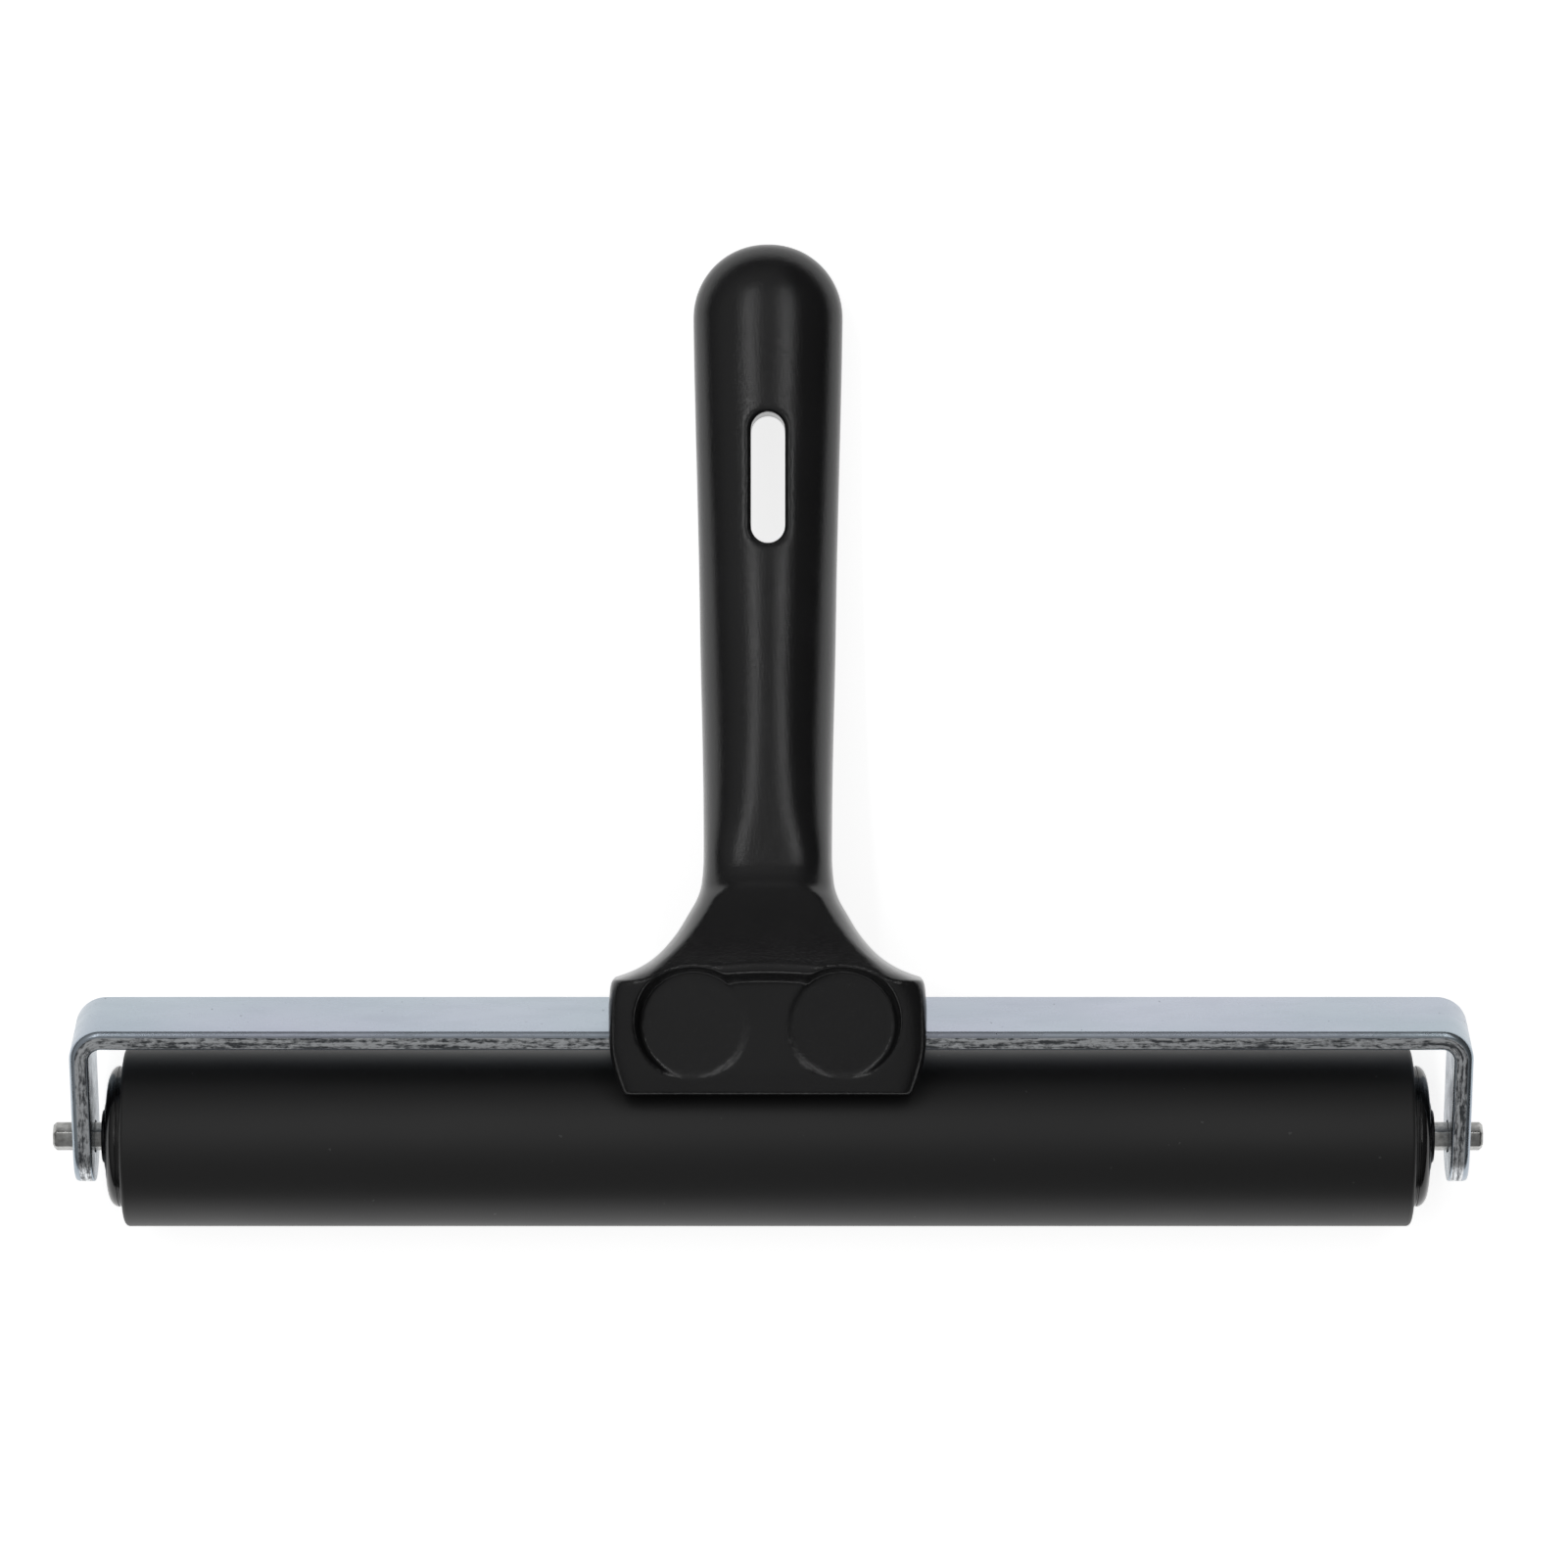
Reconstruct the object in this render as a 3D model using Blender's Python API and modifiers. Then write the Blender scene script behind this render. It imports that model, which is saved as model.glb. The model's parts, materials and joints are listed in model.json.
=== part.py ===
"""A rubber brayer lying at rest: a roller on ball bearings in a bent flat-steel yoke, with a moulded handle.

X runs along the roller, Y from the roller to the end of the handle, and Z up from the surface below.
"""

import math

import bmesh
import bpy
from mathutils import Matrix, Vector

MM = 0.001
GAP = 0.3 * MM

# Roller
ROLLER_LENGTH = 200 * MM
RUBBER_RADIUS = 14 * MM
RUBBER_EDGE = 0.8 * MM
TUBE_WALL = 1 * MM

# End caps, each a flange that covers the tube's end and a plug inside it
CAP_FACE = 3.1 * MM
CAP_RIM = 2.6 * MM
CAP_ROUND = 2.4 * MM
CAP_EDGE = 0.95 * MM
CAP_SHOULDER = 1.5 * MM
CAP_STEPS = 6
PLUG_WALL = 2.4 * MM
PLUG_LENGTH = 6 * MM

# Ball bearings
BEARING_RADIUS = 7 * MM
BEARING_BORE = 3.5 * MM
BEARING_WIDTH = 5 * MM
BALL_RADIUS = 1 * MM
BALL_COUNT = 8
CAGE_WALL = 0.9 * MM
CAGE_RIM = 0.6 * MM

# Hexagonal axle, its sleeves and the rings that keep it in place
AXLE_FLATS = 4 * MM
AXLE_STUB = 3 * MM
AXLE_CHAMFER = 0.5 * MM
AXLE_TURN = math.radians(11.8)
HUB_LIP = 1.05 * MM
HUB_PROUD = 0.5 * MM
RING_LIP = 0.5 * MM
RING_THICK = 0.7 * MM
GROOVE_DEPTH = 0.5 * MM

# Yoke, a flat strip bent to a U
STRIP_THICK = 3 * MM
STRIP_WIDTH = 14 * MM
STRIP_EDGE = 0.7 * MM
YOKE_LEAN = math.radians(23)
YOKE_CLEARANCE = 4 * MM
YOKE_SIDE_PLAY = 1.75 * MM
YOKE_OFFSET = 0.55 * MM
BEND_RADIUS = 2 * MM
AXLE_HOLE_PLAY = 1 * MM

# Places on the handle are (along, up) from the middle of the strip, in millimetres.
# The head's sections: (along, half width, top, bottom, squareness)
HEAD = (
    (-13.45, 21.4, 8.28, -16.62, 18.0),
    (-10.95, 22.4, 9.48, -16.02, 18.0),
    (-7.95, 23.4, 10.88, -14.82, 18.0),
    (-4.45, 24.2, 12.48, -13.32, 18.0),
    (-1.95, 24.4, 13.68, -12.22, 16.0),
    (2.05, 24.4, 15.58, -10.52, 14.0),
    (5.25, 24.2, 17.08, -9.82, 11.0),
    (6.95, 23.9, 17.98, -9.72, 8.0),
    (7.15, 23.2, 18.08, -9.8, 6.5),
    (8.55, 19.9, 18.98, -10.42, 4.4),
    (10.05, 17.6, 18.58, -11.12, 4.0),
    (11.55, 16.0, 17.38, -11.82, 3.7),
    (14.15, 13.9, 15.08, -12.42, 3.5),
    (16.45, 12.5, 12.78, -12.72, 3.5),
    (19.55, 10.8, 10.08, -13.12, 3.5),
    (21.55, 10.25, 7.78, -13.32, 3.6),
)
# The grip's sections: (share of its length before the dome, half width, half thickness, squareness)
GRIP = (
    (0.0, 9.97, 9.9, 3.4),
    (0.091, 10.02, 9.8, 2.5),
    (0.193, 10.17, 9.6, 2.2),
    (0.364, 10.53, 9.1, 2.05),
    (0.534, 10.79, 8.6, 2.05),
    (0.682, 11.1, 8.2, 2.05),
    (0.818, 11.4, 7.95, 2.05),
    (0.932, 11.62, 7.85, 2.05),
    (1.0, 11.71, 7.8, 2.05),
)
NECK = (25.55 * MM, -4.07 * MM)
GRIP_LENGTH = 84.5 * MM
DOME_LENGTH = 11.5 * MM
DOME_STEPS = 7
TIP_SLOPE = math.radians(3)
RING_POINTS = 40

# Features of the head
SKIRT_LENGTH = 6.7 * MM
SKIRT_CLEARANCE = 2.2 * MM
RIDGE = (9.05 * MM, 17.08 * MM)
SCOOP_END = (21.55 * MM, 7.68 * MM)
PAD_RADIUS = 8.25 * MM
PAD_SPREAD = 11.4 * MM
PAD_MIDDLE = 0.05 * MM
PAD_FOOT = (-8.15 * MM, 10.48 * MM)
PAD_SLOPE = math.radians(9)
PAD_LEAN = math.radians(3)
PAD_DRAFT = math.radians(12)
VALLEY_FOOT = 11.08 * MM
VALLEY_SLOPE = math.radians(9)
VALLEY_WALL = math.radians(64)
VALLEY_START = 1.5 * MM

# Hanging slot
SLOT_FROM_TIP = 36.9 * MM
SLOT_LENGTH = 20.4 * MM
SLOT_WIDTH = 5.3 * MM

# Screws that hold the handle on the yoke
SCREW_RADIUS = 2 * MM
SCREW_HEAD_RADIUS = 3.6 * MM
SCREW_HEAD = 1.9 * MM
SCREW_POINT = 1.8 * MM
SCREW_LENGTH = 13 * MM
DRIVE_REACH = 1.8 * MM
DRIVE_WIDTH = 0.8 * MM
DRIVE_DEPTHS = (1 * MM, 0.9 * MM)

# Sizes that follow along the roller
HALF = ROLLER_LENGTH / 2
HUB_FACE = HALF + CAP_FACE + HUB_PROUD
SEAT = HALF + CAP_SHOULDER
BEARING_OUT = SEAT - GAP
BEARING_IN = BEARING_OUT - BEARING_WIDTH
BEARING_MIDDLE = (BEARING_OUT + BEARING_IN) / 2
SLEEVE_IN = BEARING_IN - GAP
RING_OUT = SLEEVE_IN - GAP
RING_IN = RING_OUT - RING_THICK
ARM_IN = HUB_FACE + YOKE_SIDE_PLAY
ARM_OUT = ARM_IN + STRIP_THICK
AXLE_END = ARM_OUT + AXLE_STUB

# Radii that follow, from the axle outwards
HEX = 1 / math.cos(math.pi / 6)
AXLE_CORNER = AXLE_FLATS / 2 * HEX
GROOVE_CORNER = AXLE_CORNER - GROOVE_DEPTH
SLEEVE_RADIUS = BEARING_BORE - GAP
HUB_RADIUS = SLEEVE_RADIUS + HUB_LIP
RING_RADIUS = SLEEVE_RADIUS + RING_LIP
PITCH_RADIUS = (BEARING_BORE + BEARING_RADIUS) / 2
CAGE_WIDTH = 2 * (BALL_RADIUS + GAP + CAGE_RIM)
PLUG_RADIUS = BEARING_RADIUS + GAP + PLUG_WALL
TUBE_INSIDE = PLUG_RADIUS + GAP
TUBE_RADIUS = TUBE_INSIDE + TUBE_WALL
STRIP_IN = RUBBER_RADIUS + YOKE_CLEARANCE
STRIP_MIDDLE = STRIP_IN + STRIP_THICK / 2
STRIP_OUT = STRIP_IN + STRIP_THICK

# Places that follow, from the axle
STRIP_Y = STRIP_MIDDLE * math.cos(YOKE_LEAN)
STRIP_Z = STRIP_MIDDLE * math.sin(YOKE_LEAN)
NECK_Y = STRIP_Y + NECK[0]
DOME_Y = NECK_Y + GRIP_LENGTH
TIP_Y = DOME_Y + DOME_LENGTH
REST = GRIP[-1][2] * MM - RUBBER_RADIUS
RISE = STRIP_Z + NECK[1] - REST
ARCH = (RISE - math.tan(TIP_SLOPE) * GRIP_LENGTH) / GRIP_LENGTH**2
AXLE = Vector((0, (RUBBER_RADIUS - TIP_Y) / 2, RUBBER_RADIUS))
STRIP = AXLE + Vector((0, STRIP_Y, STRIP_Z))
FAR = 60 * MM

TO_X = Matrix.Rotation(math.pi / 2, 3, "Y")
HEX_UP = Matrix.Rotation(math.pi / 6, 3, "Z")
AXLE_SPIN = Matrix.Rotation(AXLE_TURN, 3, "X") @ TO_X @ HEX_UP
SIDE_VIEW = Matrix(((0, 0, 1), (1, 0, 0), (0, 1, 0)))
LEAN = Matrix.Rotation(YOKE_LEAN, 3, "X")
ALONG_SCREW = Matrix.Rotation(YOKE_LEAN - math.pi / 2, 3, "X")


def clear_scene():
    for obj in list(bpy.data.objects):
        bpy.data.objects.remove(obj, do_unlink=True)


def new_collection(name):
    made = bpy.data.collections.new(name)
    bpy.context.scene.collection.children.link(made)
    return made


def paint(name, colour, roughness, metallic=0.0):
    made = bpy.data.materials.new(name)
    made.use_nodes = True
    shader = made.node_tree.nodes["Principled BSDF"]
    shader.inputs["Base Color"].default_value = (*colour, 1)
    shader.inputs["Roughness"].default_value = roughness
    shader.inputs["Metallic"].default_value = metallic
    return made


def place(name, mesh, material=None, at=AXLE, turn=None):
    """Puts a mesh in the scene: a part when it has a material, and otherwise a cutter."""
    obj = bpy.data.objects.new(name, mesh)
    obj.location = at
    if turn is not None:
        obj.rotation_euler = turn.to_euler()
    if material:
        mesh.materials.append(material)
        parts.objects.link(obj)
        return obj
    obj.hide_render = True
    obj.display_type = "WIRE"
    cutters.objects.link(obj)
    return obj


def smooth(obj):
    obj.data.shade_smooth()
    obj.data.set_sharp_from_angle(angle=math.radians(40))


def turned(name, profile, material=None, steps=48, turn=TO_X):
    """A ring or rod turned about the axle. The profile is (radius, place along it), down its outer side."""
    mesh = bpy.data.meshes.new(name)
    count = len(profile)
    edges = [(i, (i + 1) % count) for i in range(count)]
    solid = profile[0][0] == 0
    mesh.from_pydata([(r, 0, a) for r, a in profile], edges[:-1] if solid else edges, [])
    obj = place(name, mesh, material, turn=turn)
    screw = obj.modifiers.new("Turn", "SCREW")
    screw.steps = steps
    screw.render_steps = steps
    screw.use_merge_vertices = True
    screw.merge_threshold = 0.00001
    screw.use_smooth_shade = steps > 6
    return obj


def both_ways(profile, side):
    """The profile of the right-hand piece, or its mirror image for the left-hand one."""
    if side > 0:
        return profile
    return [(r, -a) for r, a in reversed(profile)]


def plate(name, outline, low, high, material=None, at=AXLE, turn=None):
    """A flat outline in the local XY plane, from low to high along local Z."""
    curve = bpy.data.curves.new(name, "CURVE")
    curve.dimensions = "2D"
    curve.fill_mode = "BOTH"
    curve.extrude = (high - low) / 2
    spline = curve.splines.new("POLY")
    spline.points.add(len(outline) - 1)
    for point, (x, y) in zip(spline.points, outline):
        point.co = (x, y, 0, 1)
    spline.use_cyclic_u = True
    holder = bpy.data.objects.new(name + "_outline", curve)
    bpy.context.scene.collection.objects.link(holder)
    graph = bpy.context.evaluated_depsgraph_get()
    mesh = bpy.data.meshes.new_from_object(holder.evaluated_get(graph))
    bpy.data.objects.remove(holder)
    mesh.transform(Matrix.Translation((0, 0, (low + high) / 2)))
    shape = bmesh.new()
    shape.from_mesh(mesh)
    bmesh.ops.remove_doubles(shape, verts=shape.verts, dist=1e-6)
    bmesh.ops.recalc_face_normals(shape, faces=shape.faces)
    shape.to_mesh(mesh)
    shape.free()
    return place(name, mesh, material, at, turn)


def cylinder(name, radius, low, high, segments=32, top_radius=None, at=AXLE, turn=None):
    """A cutter: a cylinder or cone along local Z, from low to high, with a corner at local +X."""
    shape = bmesh.new()
    upper = radius if top_radius is None else top_radius
    bmesh.ops.create_cone(
        shape, cap_ends=True, segments=segments, radius1=radius, radius2=upper, depth=high - low
    )
    bmesh.ops.transform(shape, verts=shape.verts, matrix=Matrix.Rotation(math.pi / 2, 4, "Z"))
    bmesh.ops.translate(shape, verts=shape.verts, vec=(0, 0, (low + high) / 2))
    mesh = bpy.data.meshes.new(name)
    shape.to_mesh(mesh)
    shape.free()
    return place(name, mesh, None, at, turn)


def combine(obj, other, operation="DIFFERENCE"):
    step = obj.modifiers.new(other.name, "BOOLEAN")
    step.operation = operation
    step.solver = "EXACT"
    step.object = other


def arc(centre, radius, start, end, steps):
    """Points on an arc, with both ends, at angles in degrees."""
    angles = [math.radians(start + (end - start) * i / steps) for i in range(steps + 1)]
    return [(centre[0] + radius * math.cos(a), centre[1] + radius * math.sin(a)) for a in angles]


def rubber_sleeve():
    inner = TUBE_RADIUS + GAP
    edge = min(RUBBER_EDGE, (RUBBER_RADIUS - inner) / 2)
    profile = [
        (RUBBER_RADIUS - edge, HALF),
        (RUBBER_RADIUS - 0.3 * edge, HALF - 0.3 * edge),
        (RUBBER_RADIUS, HALF - edge),
        (RUBBER_RADIUS, edge - HALF),
        (RUBBER_RADIUS - 0.3 * edge, 0.3 * edge - HALF),
        (RUBBER_RADIUS - edge, -HALF),
        (inner, -HALF),
        (inner, HALF),
    ]
    return turned("rubber_sleeve", profile, rubber, 48)


def core_tube():
    profile = [(TUBE_RADIUS, HALF), (TUBE_RADIUS, -HALF), (TUBE_INSIDE, -HALF), (TUBE_INSIDE, HALF)]
    return turned("core_tube", profile, aluminium, 36)


def end_cap(label, side):
    mouth = HUB_RADIUS + GAP
    pocket = BEARING_RADIUS + GAP
    profile = [(mouth, HALF + CAP_FACE)]
    for step in range(CAP_STEPS + 1):
        angle = math.pi / 2 * step / CAP_STEPS
        out = TUBE_RADIUS - CAP_ROUND * (1 - math.sin(angle))
        profile.append((out, HALF + CAP_EDGE + (CAP_RIM - CAP_EDGE) * math.cos(angle)))
    profile += [
        (TUBE_RADIUS, HALF + GAP),
        (PLUG_RADIUS, HALF + GAP),
        (PLUG_RADIUS, HALF - PLUG_LENGTH),
        (pocket, HALF - PLUG_LENGTH),
        (pocket, SEAT),
        (mouth, SEAT),
    ]
    return turned("end_cap_" + label, both_ways(profile, side), black_plastic, 36)


def bearing(label, side):
    """The two rings, the cage and the balls of one bearing."""
    race = PITCH_RADIUS - CAGE_WALL / 2 - GAP
    floor = PITCH_RADIUS - BALL_RADIUS - GAP
    shoulder = BALL_RADIUS
    inner = [
        (race, BEARING_OUT),
        (race, BEARING_MIDDLE + shoulder),
        (floor, BEARING_MIDDLE + 0.4 * shoulder),
        (floor, BEARING_MIDDLE - 0.4 * shoulder),
        (race, BEARING_MIDDLE - shoulder),
        (race, BEARING_IN),
        (BEARING_BORE, BEARING_IN),
        (BEARING_BORE, BEARING_OUT),
    ]
    turned("bearing_inner_" + label, both_ways(inner, side), bearing_steel, 24)
    race = PITCH_RADIUS + CAGE_WALL / 2 + GAP
    floor = PITCH_RADIUS + BALL_RADIUS + GAP
    outer = [
        (BEARING_RADIUS, BEARING_OUT),
        (BEARING_RADIUS, BEARING_IN),
        (race, BEARING_IN),
        (race, BEARING_MIDDLE - shoulder),
        (floor, BEARING_MIDDLE - 0.4 * shoulder),
        (floor, BEARING_MIDDLE + 0.4 * shoulder),
        (race, BEARING_MIDDLE + shoulder),
        (race, BEARING_OUT),
    ]
    turned("bearing_outer_" + label, both_ways(outer, side), bearing_steel, 24)

    axis = bpy.data.objects.new("cage_axis_" + label, None)
    axis.location = AXLE
    parts.objects.link(axis)
    half = CAGE_WIDTH / 2
    ring = [
        (PITCH_RADIUS + CAGE_WALL / 2, BEARING_MIDDLE + half),
        (PITCH_RADIUS + CAGE_WALL / 2, BEARING_MIDDLE - half),
        (PITCH_RADIUS - CAGE_WALL / 2, BEARING_MIDDLE - half),
        (PITCH_RADIUS - CAGE_WALL / 2, BEARING_MIDDLE + half),
    ]
    cage = turned("cage_" + label, both_ways(ring, side), brass, 24)
    pockets = bmesh.new()
    ball = bmesh.new()
    bmesh.ops.create_icosphere(ball, subdivisions=2, radius=BALL_RADIUS)
    ball_mesh = bpy.data.meshes.new("ball_" + label)
    ball.to_mesh(ball_mesh)
    ball.free()
    ball_mesh.materials.append(bearing_steel)
    ball_mesh.shade_smooth()
    for index in range(BALL_COUNT):
        angle = 2 * math.pi * index / BALL_COUNT
        out = Vector((0, math.cos(angle), math.sin(angle)))
        centre = Vector((side * BEARING_MIDDLE, 0, 0)) + out * PITCH_RADIUS
        one = bpy.data.objects.new(f"ball_{label}_{index + 1}", ball_mesh)
        one.parent = axis
        one.location = centre
        parts.objects.link(one)
        aim = Matrix.Translation(centre) @ out.to_track_quat("Z", "Y").to_matrix().to_4x4()
        bmesh.ops.create_cone(
            pockets,
            cap_ends=True,
            segments=8,
            radius1=BALL_RADIUS + GAP,
            radius2=BALL_RADIUS + GAP,
            depth=2 * CAGE_WALL,
            matrix=aim,
        )
    pocket_mesh = bpy.data.meshes.new("cage_pockets_" + label)
    pockets.to_mesh(pocket_mesh)
    pockets.free()
    combine(cage, place("cage_pockets_" + label, pocket_mesh))


def hex_sleeve(label, side):
    """The hub seen at the end cap: round outside, with a hexagonal bore for the axle."""
    profile = [
        (0, HUB_FACE),
        (HUB_RADIUS - GAP, HUB_FACE),
        (HUB_RADIUS, HUB_FACE - GAP),
        (HUB_RADIUS, SEAT),
        (SLEEVE_RADIUS, SEAT),
        (SLEEVE_RADIUS, SLEEVE_IN),
        (0, SLEEVE_IN),
    ]
    sleeve = turned("hex_sleeve_" + label, both_ways(profile, side), steel, 24)
    bore = (AXLE_FLATS / 2 + GAP) * HEX
    low, high = sorted((side * (SLEEVE_IN - MM), side * (HUB_FACE + MM)))
    combine(sleeve, cylinder("hex_bore_" + label, bore, low, high, 6, turn=AXLE_SPIN))


def axle():
    right = [
        (0, AXLE_END),
        (AXLE_CORNER - AXLE_CHAMFER, AXLE_END),
        (AXLE_CORNER, AXLE_END - AXLE_CHAMFER),
        (AXLE_CORNER, RING_OUT + 0.5 * GAP),
        (GROOVE_CORNER, RING_OUT + 0.5 * GAP),
        (GROOVE_CORNER, RING_IN - 0.5 * GAP),
        (AXLE_CORNER, RING_IN - 0.5 * GAP),
    ]
    left = [(r, -a) for r, a in reversed(right)]
    return turned("hex_axle", right + left, steel, 6, turn=AXLE_SPIN)


def retaining_ring(label, side):
    inner = GROOVE_CORNER + 0.5 * GAP
    profile = [
        (RING_RADIUS, RING_OUT),
        (RING_RADIUS, RING_IN),
        (inner, RING_IN),
        (inner, RING_OUT),
    ]
    return turned("retaining_ring_" + label, both_ways(profile, side), steel, 20)


def yoke():
    """The strip's outline is drawn in the plane of the roller's axis and the arms."""
    outer = BEND_RADIUS + STRIP_THICK
    foot = -STRIP_WIDTH
    outline = [(ARM_OUT, foot)]
    outline += arc((ARM_OUT - outer, STRIP_OUT - outer), outer, 0, 90, 8)
    outline += arc((outer - ARM_OUT, STRIP_OUT - outer), outer, 90, 180, 8)
    outline += [(-ARM_OUT, foot), (-ARM_IN, foot)]
    outline += arc((BEND_RADIUS - ARM_IN, STRIP_IN - BEND_RADIUS), BEND_RADIUS, 180, 90, 6)
    outline += arc((ARM_IN - BEND_RADIUS, STRIP_IN - BEND_RADIUS), BEND_RADIUS, 90, 0, 6)
    outline += [(ARM_IN, foot)]
    at = AXLE + Vector((YOKE_OFFSET, 0, 0))
    strip = plate("yoke", outline, -STRIP_WIDTH, STRIP_WIDTH, zinc, at, LEAN)

    half = STRIP_WIDTH / 2
    far = STRIP_OUT + STRIP_WIDTH
    profile = arc((0, 0), half, 90, 270, 12) + [(far, -half), (far, half)]
    reach = ARM_OUT + STRIP_WIDTH
    rounded = plate("strip_width", profile, -reach, reach, None, at, LEAN @ SIDE_VIEW)
    combine(strip, rounded, "INTERSECT")
    edge = strip.modifiers.new("Edges", "BEVEL")
    edge.width = STRIP_EDGE
    edge.segments = 2
    edge.limit_method = "ANGLE"
    edge.angle_limit = math.radians(60)

    corner = (AXLE_FLATS + AXLE_HOLE_PLAY) / 2 * HEX
    hexagon = LEAN @ TO_X @ HEX_UP
    combine(strip, cylinder("axle_holes", corner, -reach, reach, 6, at=at, turn=hexagon))
    low = STRIP_IN - STRIP_THICK
    high = STRIP_OUT + STRIP_THICK
    for label, x in (("left", -PAD_SPREAD), ("right", PAD_SPREAD)):
        spot = AXLE + Vector((x, 0, 0))
        name = "strip_hole_" + label
        combine(strip, cylinder(name, SCREW_RADIUS + GAP, low, high, 20, at=spot, turn=ALONG_SCREW))
    return strip


def grip_middle(y):
    """Height of the grip's centre line. The grip rests on the surface where its dome begins."""
    back = DOME_Y - y
    return REST + math.tan(TIP_SLOPE) * back + ARCH * back * back


def handle_sections():
    """Sections of the handle as (place, half width, top, bottom, squareness), from the axle."""
    sections = []
    for y, width, top, bottom, squareness in HEAD:
        low, high = STRIP_Z + bottom * MM, STRIP_Z + top * MM
        sections.append((STRIP_Y + y * MM, width * MM, high, low, squareness))
    grip = []
    for share, width, thick, squareness in GRIP:
        grip.append((NECK_Y + GRIP_LENGTH * share, width * MM, thick * MM, squareness))
    width0, thick0, square0 = grip[-1][1:]
    for step in range(1, DOME_STEPS + 1):
        angle = math.pi / 2 * step / DOME_STEPS
        shrink = math.cos(0.985 * angle)
        grip.append((DOME_Y + DOME_LENGTH * math.sin(angle), width0 * shrink, thick0 * shrink, square0))
    for y, width, thick, squareness in grip:
        middle = grip_middle(y)
        sections.append((y, width, middle + thick, middle - thick, squareness))
    return sections


def handle_ring(y, width, top, bottom, squareness):
    """One section of the handle: a rounded oblong across it."""
    power = 2 / squareness
    points = []
    for index in range(RING_POINTS):
        angle = 2 * math.pi * index / RING_POINTS
        across = math.copysign(abs(math.sin(angle)) ** power, math.sin(angle))
        up = math.copysign(abs(math.cos(angle)) ** power, math.cos(angle))
        points.append((width * across, y, (top + bottom) / 2 + (top - bottom) / 2 * up))
    return points


def handle_body():
    shape = bmesh.new()
    rings = [[shape.verts.new(p) for p in handle_ring(*s)] for s in handle_sections()]
    for ring, after in zip(rings, rings[1:]):
        for index in range(RING_POINTS):
            other = (index + 1) % RING_POINTS
            shape.faces.new((ring[index], ring[other], after[other], after[index]))
    shape.faces.new(rings[0])
    shape.faces.new(rings[-1])
    bmesh.ops.recalc_face_normals(shape, faces=shape.faces)
    mesh = bpy.data.meshes.new("handle")
    shape.to_mesh(mesh)
    shape.free()
    return place("handle", mesh, black_plastic)


def scoop_height(y):
    """The thumb rest: a slope that rises from the neck to the ridge."""
    left = 1 - (y - RIDGE[0]) / (SCOOP_END[0] - RIDGE[0])
    rise = RIDGE[1] - SCOOP_END[1]
    return SCOOP_END[1] + rise * (0.8 * left + 0.2 * left * left)


def valley_height(y):
    """The front face between the pads: a gentle slope, then a steep wall up to the ridge."""
    floor = VALLEY_FOOT + math.tan(VALLEY_SLOPE) * (y - PAD_FOOT[0])
    return max(floor, RIDGE[1] - math.tan(VALLEY_WALL) * (RIDGE[0] - y))


def cut_seat(handle):
    """The space for the roller and the seat for the strip, on the front of the head."""
    low = -FAR
    skirt = STRIP_MIDDLE - SKIRT_LENGTH
    outline = [(low, -FAR), (skirt, -FAR), (skirt, FAR), (low, FAR)]
    combine(handle, plate("skirt_end", outline, -FAR, FAR, None, AXLE, LEAN @ SIDE_VIEW))
    combine(handle, cylinder("roller_space", RUBBER_RADIUS + SKIRT_CLEARANCE, -FAR, FAR, 64, turn=TO_X))
    half = STRIP_WIDTH / 2 + GAP
    seat = STRIP_OUT + GAP
    outline = [(low, -half), (seat, -half), (seat, half), (low, half)]
    combine(handle, plate("strip_seat", outline, -FAR, FAR, None, AXLE, LEAN @ SIDE_VIEW))


def cut_head(handle):
    """The thumb rest behind the ridge, the valley in front of it and the two round pads."""
    sky = RIDGE[1] + 20 * MM
    steps = 10
    span = SCOOP_END[0] + 4 * MM - RIDGE[0]
    curve = [RIDGE[0] + span * i / steps for i in range(steps + 1)]
    outline = [(y, scoop_height(min(y, SCOOP_END[0]))) for y in curve]
    outline += [(curve[-1], sky), (RIDGE[0], sky)]
    combine(handle, plate("thumb_scoop", outline, -FAR, FAR, None, STRIP, SIDE_VIEW))

    steps = 20
    start = PAD_FOOT[0] - VALLEY_START
    curve = [start + (RIDGE[0] - start) * i / steps for i in range(steps + 1)]
    outline = [(y, valley_height(y)) for y in curve]
    outline += [(RIDGE[0] + 0.05 * MM, sky), (start, sky)]
    combine(handle, plate("front_valley", outline, -PAD_SPREAD, PAD_SPREAD, None, STRIP, SIDE_VIEW))

    middle = PAD_FOOT[1] + 10 * MM
    for label, sign in (("left", -1), ("right", 1)):
        spread = PAD_RADIUS + (sky - PAD_FOOT[1]) * math.tan(PAD_DRAFT)
        spot = STRIP + Vector((sign * PAD_SPREAD, PAD_MIDDLE, 0))
        pad = cylinder("pad_" + label, PAD_RADIUS, PAD_FOOT[1], sky, 40, spread, spot)
        for vert in pad.data.vertices:
            if vert.co.z < middle:
                y = PAD_MIDDLE + vert.co.y - PAD_FOOT[0]
                outward = sign * vert.co.x
                vert.co.z = PAD_FOOT[1] + math.tan(PAD_SLOPE) * y - math.tan(PAD_LEAN) * outward
        combine(handle, pad)


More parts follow.
